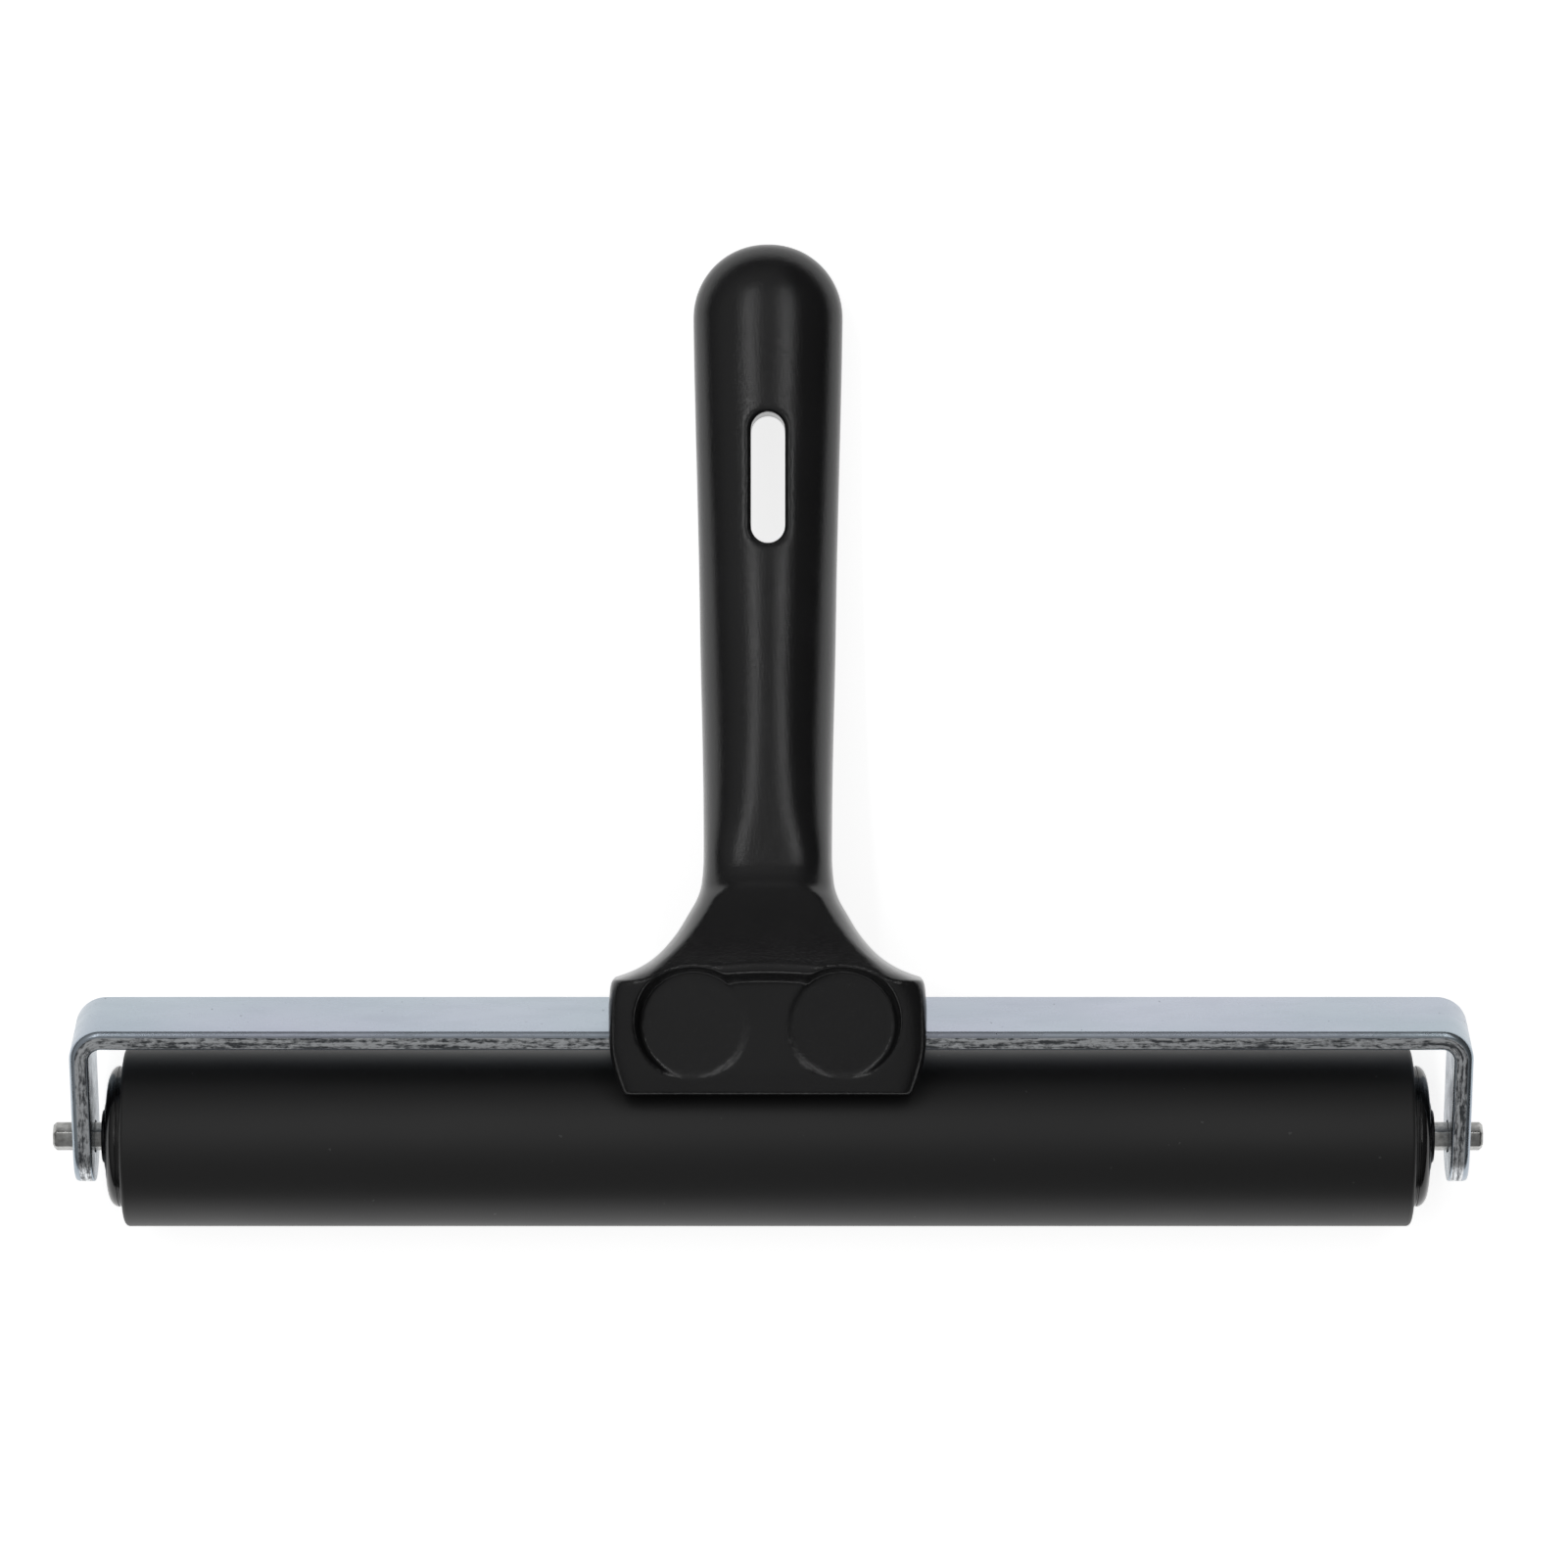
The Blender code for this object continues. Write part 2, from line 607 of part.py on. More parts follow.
def cut_handle(handle):
    """The hanging slot and the holes for the two screws."""
    radius = SLOT_WIDTH / 2
    half = SLOT_LENGTH / 2 - radius
    outline = arc((0, half), radius, 0, 180, 10) + arc((0, -half), radius, 180, 360, 10)
    at = AXLE + Vector((0, TIP_Y - SLOT_FROM_TIP, 0))
    combine(handle, plate("hanging_slot", outline, -FAR, FAR, None, at))
    end = STRIP_IN + SCREW_LENGTH + 1 * MM
    for label, x in (("left", -PAD_SPREAD), ("right", PAD_SPREAD)):
        spot = AXLE + Vector((x, 0, 0))
        name = "screw_hole_" + label
        hole = cylinder(name, SCREW_RADIUS + GAP, STRIP_MIDDLE, end, 20, at=spot, turn=ALONG_SCREW)
        combine(handle, hole)


def screw(label, x):
    """A pan-head screw, from inside the yoke through the strip into the handle."""
    seat = STRIP_IN - GAP
    face = seat - SCREW_HEAD
    end = seat + SCREW_LENGTH
    profile = [
        (0, end),
        (0.35 * SCREW_RADIUS, end),
        (SCREW_RADIUS, end - SCREW_POINT),
        (SCREW_RADIUS, seat),
        (SCREW_HEAD_RADIUS, seat),
        (SCREW_HEAD_RADIUS, seat - 0.5 * SCREW_HEAD),
        (0.7 * SCREW_HEAD_RADIUS, face),
        (0, face),
    ]
    made = turned("screw_" + label, profile, zinc, 24, turn=ALONG_SCREW)
    made.location = AXLE + Vector((x, 0, 0))
    half = DRIVE_WIDTH / 2
    bar = [(-DRIVE_REACH, -half), (DRIVE_REACH, -half), (DRIVE_REACH, half), (-DRIVE_REACH, half)]
    for arm, depth in enumerate(DRIVE_DEPTHS):
        turn = ALONG_SCREW @ Matrix.Rotation(arm * math.pi / 2, 3, "Z")
        name = f"screw_drive_{label}_{arm + 1}"
        combine(made, plate(name, bar, face - MM, face + depth, None, made.location, turn))


clear_scene()
parts = new_collection("brayer")
cutters = new_collection("brayer_cutters")
rubber = paint("black_rubber", (0.02, 0.02, 0.021), 0.62)
black_plastic = paint("black_plastic", (0.014, 0.014, 0.015), 0.42)
zinc = paint("zinc_plated_steel", (0.47, 0.52, 0.58), 0.36, 1.0)
steel = paint("plain_steel", (0.42, 0.43, 0.44), 0.38, 1.0)
bearing_steel = paint("bearing_steel", (0.62, 0.63, 0.65), 0.16, 1.0)
brass = paint("cage_brass", (0.55, 0.38, 0.16), 0.35, 1.0)
aluminium = paint("drawn_aluminium", (0.68, 0.69, 0.7), 0.4, 1.0)

rubber_sleeve()
core_tube()
for side_label, side_sign in (("left", -1), ("right", 1)):
    end_cap(side_label, side_sign)
    bearing(side_label, side_sign)
    hex_sleeve(side_label, side_sign)
    retaining_ring(side_label, side_sign)
    screw(side_label, side_sign * PAD_SPREAD)
axle()
yoke()
body = handle_body()
smooth(body)
cut_seat(body)
cut_head(body)
cut_handle(body)
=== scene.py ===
import json
import math

import bmesh
import bpy
from mathutils import Matrix, Vector


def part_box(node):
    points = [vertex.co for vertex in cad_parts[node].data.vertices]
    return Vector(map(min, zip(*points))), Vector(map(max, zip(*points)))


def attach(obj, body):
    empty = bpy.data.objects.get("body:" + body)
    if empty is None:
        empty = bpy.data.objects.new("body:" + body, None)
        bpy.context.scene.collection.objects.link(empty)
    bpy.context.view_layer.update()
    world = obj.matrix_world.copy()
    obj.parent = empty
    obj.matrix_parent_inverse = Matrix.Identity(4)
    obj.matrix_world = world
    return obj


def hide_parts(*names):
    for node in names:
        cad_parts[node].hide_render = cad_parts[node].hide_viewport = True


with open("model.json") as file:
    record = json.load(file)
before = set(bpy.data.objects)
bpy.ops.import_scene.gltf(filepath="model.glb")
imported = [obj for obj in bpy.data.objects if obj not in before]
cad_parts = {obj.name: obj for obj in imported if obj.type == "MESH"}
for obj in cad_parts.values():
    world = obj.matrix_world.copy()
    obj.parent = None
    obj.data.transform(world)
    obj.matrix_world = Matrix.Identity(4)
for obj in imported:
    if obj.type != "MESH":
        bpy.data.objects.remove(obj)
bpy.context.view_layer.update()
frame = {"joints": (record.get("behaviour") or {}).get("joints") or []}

MM = 0.001

# Places and sizes read from the frame
AXLE = Vector(frame["joints"][0]["pos_m"])
RUBBER_LOW, RUBBER_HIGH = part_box("rubber_sleeve")
RUBBER_RADIUS = (RUBBER_HIGH.z - RUBBER_LOW.z) / 2
HALF = RUBBER_HIGH.x
CAP_LOW, CAP_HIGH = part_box("end_cap_right")
CAP_FACE = CAP_HIGH.x - HALF
CAP_INNER = CAP_LOW.x
TUBE_RADIUS = (CAP_HIGH.z - CAP_LOW.z) / 2
HUB_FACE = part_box("hex_sleeve_right")[1].x
SLEEVE_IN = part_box("hex_sleeve_right")[0].x
AXLE_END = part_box("hex_axle")[1].x
YOKE_LOW, YOKE_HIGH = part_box("yoke")
YOKE_OFFSET = (YOKE_LOW.x + YOKE_HIGH.x) / 2
ARM_OUT = (YOKE_HIGH.x - YOKE_LOW.x) / 2
BEARING_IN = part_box("bearing_outer_right")[0].x
BEARING_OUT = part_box("bearing_outer_right")[1].x
BEARING_MIDDLE = (BEARING_IN + BEARING_OUT) / 2
RING_IN, RING_OUT = (corner.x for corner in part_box("retaining_ring_right"))
TIP_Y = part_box("handle")[1].y - AXLE.y

# Sizes of the roller and its bearings
GAP = 0.3 * MM
RUBBER_EDGE = 0.7 * MM
TUBE_WALL = 1 * MM
CAP_SHOULDER = 1.5 * MM
CAP_RIM = 2.6 * MM
CAP_ROUND = 2.4 * MM
CAP_FOOT = 0.95 * MM
CAP_LIP = 0.35 * MM
PLUG_RADIUS = 9.7 * MM
BEARING_RADIUS = 7 * MM
BEARING_BORE = 3.5 * MM
PITCH_RADIUS = 5.25 * MM
BALL_RADIUS = 1 * MM
BALL_COUNT = 8
CAGE_WALL = 0.9 * MM
CAGE_WIDTH = 3.8 * MM
SLEEVE_RADIUS = 3.2 * MM
HUB_RADIUS = 4.25 * MM
RING_RADIUS = 3.7 * MM
AXLE_FLATS = 4 * MM
AXLE_TURN = math.radians(11.8)
AXLE_CHAMFER = 0.5 * MM
GROOVE_DEPTH = 0.5 * MM
HEX = 1 / math.cos(math.pi / 6)
AXLE_CORNER = AXLE_FLATS / 2 * HEX

# Sizes of the strip that makes the yoke
STRIP_THICK = 3 * MM
STRIP_WIDTH = 14 * MM
STRIP_ROLL = 0.9 * MM
STRIP_BURR = 0.3 * MM
CORNER_STEPS = 8
YOKE_LEAN = math.radians(23)
STRIP_IN = RUBBER_RADIUS + 4 * MM
STRIP_MIDDLE = STRIP_IN + STRIP_THICK / 2
STRIP_OUT = STRIP_IN + STRIP_THICK
BEND_RADIUS = 2 * MM
HOLE_FLATS = 5 * MM
STRIP_Y = STRIP_MIDDLE * math.cos(YOKE_LEAN)
STRIP_Z = STRIP_MIDDLE * math.sin(YOKE_LEAN)
STRIP = AXLE + Vector((0, STRIP_Y, STRIP_Z))

# The handle's head, from the middle of the strip: (along, half width, top, bottom, squareness) in mm
HEAD = (
    (-13.45, 21.4, 8.28, -16.62, 18.0),
    (-10.95, 22.4, 9.48, -16.02, 18.0),
    (-7.95, 23.4, 10.88, -14.82, 18.0),
    (-4.45, 24.2, 12.48, -13.32, 18.0),
    (-1.95, 24.4, 13.68, -12.22, 16.0),
    (2.05, 24.4, 15.58, -10.52, 14.0),
    (5.25, 24.2, 17.08, -9.82, 11.0),
    (6.95, 23.9, 17.98, -9.72, 8.0),
    (7.15, 23.2, 18.08, -9.8, 6.5),
    (8.55, 19.9, 18.98, -10.42, 4.4),
    (10.05, 17.6, 18.58, -11.12, 4.0),
    (11.55, 16.0, 17.38, -11.82, 3.7),
    (14.15, 13.9, 15.08, -12.42, 3.5),
    (16.45, 12.5, 12.78, -12.72, 3.5),
    (19.55, 10.8, 10.08, -13.12, 3.5),
    (21.55, 10.25, 7.78, -13.32, 3.6),
)
# The grip: (share of its length before the dome, half width, half thickness, squareness) in mm
GRIP = (
    (0.0, 9.97, 9.9, 3.4),
    (0.091, 10.02, 9.8, 2.5),
    (0.193, 10.17, 9.6, 2.2),
    (0.364, 10.53, 9.1, 2.05),
    (0.534, 10.79, 8.6, 2.05),
    (0.682, 11.1, 8.2, 2.05),
    (0.818, 11.4, 7.95, 2.05),
    (0.932, 11.62, 7.85, 2.05),
    (1.0, 11.71, 7.8, 2.05),
)
NECK_DROP = 4.07 * MM
GRIP_LENGTH = 84.5 * MM
DOME_LENGTH = 11.5 * MM
TIP_SLOPE = math.radians(3)
DOME_Y = TIP_Y - DOME_LENGTH
NECK_Y = DOME_Y - GRIP_LENGTH
REST = GRIP[-1][2] * MM - RUBBER_RADIUS
ARCH = (STRIP_Z - NECK_DROP - REST - math.tan(TIP_SLOPE) * GRIP_LENGTH) / GRIP_LENGTH**2

# Relief on the head, from the middle of the strip
SKIRT_END = STRIP_MIDDLE - 6.7 * MM
SKIRT_ROUND = 1.4 * MM
SKIRT_TOP = 11.78 * MM
SKIRT_CLEARANCE = 2.2 * MM
RIDGE = (9.05 * MM, 17.08 * MM)
SCOOP_END = (21.55 * MM, 7.68 * MM)
PAD_RADIUS = 8.25 * MM
PAD_SPREAD = 11.4 * MM
PAD_MIDDLE = 0.05 * MM
PAD_FOOT = (-8.15 * MM, 10.48 * MM)
PAD_SLOPE = math.radians(9)
PAD_LEAN = math.radians(3)
PAD_DRAFT = math.radians(12)
VALLEY_FOOT = 11.08 * MM
VALLEY_SLOPE = math.radians(9)
VALLEY_WALL = math.radians(64)
VALLEY_ROUND = 1.4 * MM
RIDGE_ROUND = 1 * MM
RIDGE_BOW = 0.9 * MM
RIDGE_HALF = 10.9 * MM
SCOOP_START_SLOPE = math.radians(42)
VALLEY_START = 1.5 * MM

# Hanging slot
SLOT_PLACE = TIP_Y - 36.9 * MM
SLOT_LENGTH = 20.4 * MM
SLOT_WIDTH = 5.3 * MM
SLOT_LIP = 1 * MM

# Screws
SCREW_RADIUS = 2 * MM
SCREW_HEAD_RADIUS = 3.6 * MM
SCREW_HEAD = 1.9 * MM
SCREW_LENGTH = 13 * MM
THREAD_PITCH = 1.1 * MM
THREAD_DEPTH = 0.28 * MM

# The studio, in metres and watts
TABLE_HALF = 3
TABLE_TOP = -0.0003
LAMP_PLACE = Vector((0.44, 0.42, 1.3))
LAMP_SIZE = (0.06, 1.3)
LAMP_POWER = 2.1
LENS = 166.94
CAMERA_PLACE = AXLE + Vector((0.0025, 0.0549, 1.1335))

# The grid of the handle's skin, and a length past everything
MOULD_GRID = 0.36 * MM
FAR = 60 * MM
TO_X = Matrix.Rotation(math.pi / 2, 4, "Y")
HEX_UP = Matrix.Rotation(math.pi / 6, 4, "Z")
AXLE_SPIN = Matrix.Rotation(AXLE_TURN, 4, "X") @ TO_X @ HEX_UP
LEAN = Matrix.Rotation(YOKE_LEAN, 4, "X")
SIDE_VIEW = Matrix(((0, 0, 1, 0), (1, 0, 0, 0), (0, 1, 0, 0), (0, 0, 0, 1)))
ALONG_SCREW = Matrix.Rotation(YOKE_LEAN - math.pi / 2, 4, "X")
AT_AXLE = Matrix.Translation(AXLE)
AT_STRIP = Matrix.Translation(STRIP)


# ---- Materials ----


def linear(hex_colour):
    """An sRGB hex colour as linear RGBA."""
    parts = [int(hex_colour[i : i + 2], 16) / 255 for i in (1, 3, 5)]
    return (*(c / 12.92 if c <= 0.04045 else ((c + 0.055) / 1.055) ** 2.4 for c in parts), 1)


def add(tree, kind, inputs=(), **settings):
    """Adds a node. Inputs are sockets to link or values to set, and settings are its own properties."""
    made = tree.nodes.new(kind)
    for key, value in settings.items():
        setattr(made, key, value)
    for key, value in dict(inputs).items():
        if isinstance(value, bpy.types.NodeSocket):
            tree.links.new(value, made.inputs[key])
        else:
            made.inputs[key].default_value = value
    return made


def finish_named(name, **sockets):
    """A material, its node tree, its shader and the object's own coordinates in metres."""
    made = bpy.data.materials.new(name)
    made.use_nodes = True
    tree = made.node_tree
    shader = tree.nodes["Principled BSDF"]
    for key, value in sockets.items():
        shader.inputs[key.replace("_", " ")].default_value = value
    place = add(tree, "ShaderNodeTexCoord").outputs["Object"]
    return made, tree, shader, place


def noise(tree, place, size, detail=3.0, roughness=0.5, stretch=(1, 1, 1)):
    """Noise whose blotches are about size across, drawn out by stretch."""
    scaled = add(tree, "ShaderNodeMapping", {"Vector": place, "Scale": [1 / (size * s) for s in stretch]})
    inputs = {"Vector": scaled.outputs["Vector"], "Scale": 1.0, "Detail": detail, "Roughness": roughness}
    return add(tree, "ShaderNodeTexNoise", inputs).outputs["Fac"]


def spread(tree, value, low, high, start=0.3, end=0.7):
    """Maps noise between start and end onto low to high."""
    inputs = {"Value": value, "From Min": start, "From Max": end, "To Min": low, "To Max": high}
    return add(tree, "ShaderNodeMapRange", inputs).outputs["Result"]


def blend_colours(tree, factor, first, second):
    """A mix of two colours, which sockets 6 and 7 of the mix node take and socket 2 gives."""
    inputs = {"Factor": factor, 6: first, 7: second}
    return add(tree, "ShaderNodeMix", inputs, data_type="RGBA").outputs[2]


def bump(tree, shader, height, depth, strength=1.0):
    """Raises the surface by up to depth where height is 1."""
    inputs = {"Height": height, "Distance": depth, "Strength": strength}
    tree.links.new(add(tree, "ShaderNodeBump", inputs).outputs["Normal"], shader.inputs["Normal"])


def total(tree, first, second, share):
    """First plus share times second."""
    inputs = {0: second, 1: share, 2: first}
    return add(tree, "ShaderNodeMath", inputs, operation="MULTIPLY_ADD").outputs[0]


def moulded_polypropylene():
    """Injection-moulded polypropylene: the mould's spark-eroded grain breaks its gloss into fine points."""
    made, tree, shader, place = finish_named("spark_eroded_polypropylene", Roughness=0.2, IOR=1.49)
    blotches = noise(tree, place, 14 * MM, 2)
    colour = blend_colours(tree, spread(tree, blotches, 0, 1), linear("#161617"), linear("#1B1B1C"))
    tree.links.new(colour, shader.inputs["Base Color"])
    # Real grain is about 0.1 mm; it is drawn at 0.3 mm so that it shows.
    grain = noise(tree, place, 0.3 * MM, 2, 0.6)
    worn = noise(tree, place, 6 * MM, 3)
    rough = total(tree, spread(tree, worn, 0.18, 0.24), spread(tree, grain, -0.5, 0.5), 0.08)
    tree.links.new(rough, shader.inputs["Roughness"])
    bump(tree, shader, grain, 0.04 * MM, 1.0)
    return made


def ground_rubber():
    """Nitrile rubber ground true on a lathe: matt, with faint rings round the roller and a little dust."""
    made, tree, shader, place = finish_named("ground_nitrile_rubber", Roughness=0.5, IOR=1.52)
    rings = noise(tree, place, 0.35 * MM, 2, 0.5, (1, 40, 40))
    grain = noise(tree, place, 0.25 * MM, 2, 0.6)
    bloom = noise(tree, place, 30 * MM, 3, 0.6, (2, 1, 1))
    colour = blend_colours(tree, spread(tree, bloom, 0, 1), linear("#121212"), linear("#171718"))
    dust = spread(tree, noise(tree, place, 1.3 * MM, 1), 0, 1, 0.79, 0.81)
    colour = blend_colours(tree, dust, colour, linear("#3A3A3A"))
    tree.links.new(colour, shader.inputs["Base Color"])
    tree.links.new(spread(tree, bloom, 0.46, 0.54), shader.inputs["Roughness"])
    bump(tree, shader, total(tree, rings, grain, 0.6), 0.012 * MM, 0.7)
    return made


def polished_abs():
    """ABS from a polished mould: nearly a mirror, with faint flow lines and fine handling scratches."""
    made, tree, shader, place = finish_named("polished_abs", Roughness=0.14, IOR=1.54)
    flow = noise(tree, place, 5 * MM, 2)
    colour = blend_colours(tree, spread(tree, flow, 0, 1), linear("#0E0E0F"), linear("#151516"))
    tree.links.new(colour, shader.inputs["Base Color"])
    scratches = noise(tree, place, 0.25 * MM, 3, 0.6, (1, 12, 3))
    tree.links.new(spread(tree, scratches, 0.1, 0.24), shader.inputs["Roughness"])
    bump(tree, shader, scratches, 0.004 * MM, 0.5)
    return made


def zinc_plated_steel(name, pale, dull, low, high):
    """Rolled flat steel, bright zinc plated and blue passivated: a satin, pale blue metal with lilac and
    teal clouds, rolling lines along the strip and small dark pits."""
    made, tree, shader, place = finish_named(name, Metallic=1.0)
    clouds = noise(tree, place, 22 * MM, 3, 0.55, (2.2, 1, 1))
    tint = blend_colours(tree, spread(tree, clouds, 0, 1), linear(pale), linear(dull))
    warm = noise(tree, place, 35 * MM, 2, 0.5, (1.5, 1, 1))
    tint = blend_colours(tree, spread(tree, warm, 0, 0.3, 0.45, 0.7), tint, linear("#C3BCD0"))
    spots = noise(tree, place, 0.9 * MM, 2, 0.7)
    pits = spread(tree, spots, 0, 1, 0.735, 0.765)
    tree.links.new(blend_colours(tree, pits, tint, linear("#5D6268")), shader.inputs["Base Color"])
    rolled = noise(tree, place, 0.4 * MM, 4, 0.65, (30, 1, 1))
    patchy = noise(tree, place, 3 * MM, 4, 0.6, (3, 1, 1))
    rough = total(tree, spread(tree, patchy, low, high), pits, 0.25)
    tree.links.new(rough, shader.inputs["Roughness"])
    height = total(tree, total(tree, rolled, patchy, 1.2), pits, -1.5)
    bump(tree, shader, height, 0.012 * MM, 0.6)
    return made


def sheared_edge():
    """The strip's narrow sides, where the shears tore it: dark and bright streaks along the edge."""
    made, tree, shader, _ = finish_named("sheared_zinc_plated_edge", Metallic=1.0)
    along = add(tree, "ShaderNodeUVMap", uv_map="strip").outputs["UV"]
    streaks = noise(tree, along, 0.35 * MM, 4, 0.7, (30, 1, 1))
    tears = noise(tree, along, 0.3 * MM, 3, 0.7, (5, 1, 1))
    torn = spread(tree, total(tree, streaks, tears, 0.8), 0, 1, 0.8, 0.98)
    colour = blend_colours(tree, torn, linear("#5C5F63"), linear("#E2E5E8"))
    tree.links.new(colour, shader.inputs["Base Color"])
    tree.links.new(spread(tree, streaks, 0.16, 0.42), shader.inputs["Roughness"])
    bump(tree, shader, total(tree, streaks, tears, 0.5), 0.1 * MM, 0.9)
    return made


def drawn_steel(name, colour, dark, low, high, stretch=(25, 1, 1)):
    """Cold-drawn steel: fine lines along the draw, duller where the plating is thin."""
    made, tree, shader, place = finish_named(name, Metallic=1.0)
    lines = noise(tree, place, 0.3 * MM, 4, 0.65, stretch)
    spots = noise(tree, place, 1.1 * MM, 3, 0.6)
    mixed = blend_colours(tree, spread(tree, spots, 0, 1), linear(colour), linear(dark))
    tree.links.new(mixed, shader.inputs["Base Color"])
    tree.links.new(spread(tree, lines, low, high), shader.inputs["Roughness"])
    bump(tree, shader, total(tree, lines, spots, 0.8), 0.02 * MM, 0.6)
    return made


def pressed_brass():
    """Brass sheet pressed to a cage: satin, a little tarnished in patches."""
    made, tree, shader, place = finish_named("pressed_brass", Metallic=1.0)
    tarnish = noise(tree, place, 1.5 * MM, 3)
    colour = blend_colours(tree, spread(tree, tarnish, 0, 1), linear("#D9B56A"), linear("#B08A45"))
    tree.links.new(colour, shader.inputs["Base Color"])
    tree.links.new(spread(tree, tarnish, 0.22, 0.4), shader.inputs["Roughness"])
    bump(tree, shader, noise(tree, place, 0.2 * MM, 2), 0.01 * MM, 0.5)
    return made


# ---- Shapes ----


def arc(centre, radius, start, end, steps):
    """Points on an arc, with both ends, at angles in degrees."""
    angles = [math.radians(start + (end - start) * i / steps) for i in range(steps + 1)]
    return [(centre[0] + radius * math.cos(a), centre[1] + radius * math.sin(a)) for a in angles]


def stand_in(name, mesh, material, body, node):
    """A finished piece that rides on a body in place of a CAD node. With None as its material, it keeps the
    mesh's own."""
    if material:
        mesh.materials.clear()
        mesh.materials.append(material)
    piece = bpy.data.objects.new(name, mesh)
    bpy.context.scene.collection.objects.link(piece)
    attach(piece, body)
    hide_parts(node)


def shade(mesh, degrees=38):
    """Smooth, with edges sharper than this left crisp."""
    mesh.shade_smooth()
    mesh.set_sharp_from_angle(angle=math.radians(degrees))
    return mesh


def evaluated(mesh, *modifiers):
    """The mesh after modifiers, each (type, settings)."""
    holder = bpy.data.objects.new("holder", mesh)
    bpy.context.scene.collection.objects.link(holder)
    for kind, settings in modifiers:
        step = holder.modifiers.new(kind, kind)
        for key, value in settings.items():
            setattr(step, key, value)
    made = bpy.data.meshes.new_from_object(holder.evaluated_get(bpy.context.evaluated_depsgraph_get()))
    bpy.data.objects.remove(holder)
    return made


def loft(rings, closed=False):
    """Faces between rings of points, capped at both ends unless the rings close on themselves."""
    shape = bmesh.new()
    made = [[shape.verts.new(p) for p in ring] for ring in rings]
    following = made[1:] + made[:1] if closed else made[1:]
    for ring, after in zip(made, following):
        for index in range(len(ring)):
            other = (index + 1) % len(ring)
            shape.faces.new((ring[index], ring[other], after[other], after[index]))
    if not closed:
        shape.faces.new(made[0])
        shape.faces.new(made[-1])
    bmesh.ops.recalc_face_normals(shape, faces=shape.faces)
    mesh = bpy.data.meshes.new("loft")
    shape.to_mesh(mesh)
    shape.free()
    return mesh


def turned(profile, steps=96, turn=TO_X):
    """A profile of (radius, place along the axis) turned about the axle. One that begins on the axis makes
    a solid, and any other one closes on itself to a ring."""
    angles = [2 * math.pi * i / steps for i in range(steps)]
    hollow = profile[0][0] > 0
    outline = profile if hollow else profile[1:-1]
    rings = [[(r * math.cos(a), r * math.sin(a), z) for a in angles] for r, z in outline]
    mesh = loft(rings, closed=hollow)
    mesh.transform(AT_AXLE @ turn)
    return mesh


def mirrored(profile, side):
    """The profile of a piece on the right, or its mirror image for the left."""
    if side > 0:
        return profile
    return [(r, -z) for r, z in reversed(profile)]


def plate(outline, low, high, turn):
    """A flat outline in the local XY plane, from low to high along local Z."""
    mesh = loft([[(x, y, low) for x, y in outline], [(x, y, high) for x, y in outline]])
    mesh.transform(turn)
    return mesh


def bowed(outline, half, start):
    """A plate across the head, bent forward on both sides. The bend grows from start to the ridge."""
    rings = []
    steps = 12
    most = 1.6
    for index in range(2 * steps + 1):
        x = half * (index / steps - 1)
        bow = RIDGE_BOW * min((x / RIDGE_HALF) ** 2, most)
        rings.append([(x, y - bow * min((y - start) / (RIDGE[0] - start), 1), z) for y, z in outline])
    mesh = loft(rings)
    mesh.transform(AT_STRIP)
    return mesh


def prism(radius, low, high, sides, turn, top_radius=None):
    """A bar with this many sides along local Z, tapered where the top has its own radius."""
    upper = radius if top_radius is None else top_radius
    angles = [2 * math.pi * i / sides for i in range(sides)]
    ends = ((radius, low), (upper, high))
    mesh = loft([[(r * math.cos(a), r * math.sin(a), z) for a in angles] for r, z in ends])
    mesh.transform(turn)
    return mesh


def cut(mesh, *cutters):
    """The mesh with each cutter taken away."""
    holders = []
    for cutter in cutters:
        holder = bpy.data.objects.new("cutter", cutter)
        bpy.context.scene.collection.objects.link(holder)
        holders.append(holder)
    steps = [("BOOLEAN", {"object": h, "operation": "DIFFERENCE", "solver": "EXACT"}) for h in holders]
    made = evaluated(mesh, *steps)
    for holder in holders:
        bpy.data.objects.remove(holder)
    return made


# ---- Roller ----


def rubber_sleeve():
    """Square-cut ends with a small ground radius."""
    inner = TUBE_RADIUS + GAP
    corner = (RUBBER_RADIUS - RUBBER_EDGE, HALF - RUBBER_EDGE)
    right = arc((corner[1], corner[0]), RUBBER_EDGE, 0, 90, 6)
    outer = [(r, z) for z, r in right]
    profile = [(inner, HALF)] + outer + [(r, -z) for r, z in reversed(outer)] + [(inner, -HALF)]
    mesh = shade(turned(profile, 160))
    stand_in("roller_rubber", mesh, RUBBER, "roller", "rubber_sleeve")


def core_tube():
    """A drawn tube whose ends are bevelled inside and out."""
    bevel = 0.2 * MM
    inside = TUBE_RADIUS - TUBE_WALL
    end = [(TUBE_RADIUS, HALF - bevel), (TUBE_RADIUS - bevel, HALF)]
    end += [(inside + bevel, HALF), (inside, HALF - bevel)]
    profile = list(reversed(end)) + [(r, -z) for r, z in end]
    stand_in("roller_tube", shade(turned(profile, 96)), ALUMINIUM, "roller", "core_tube")


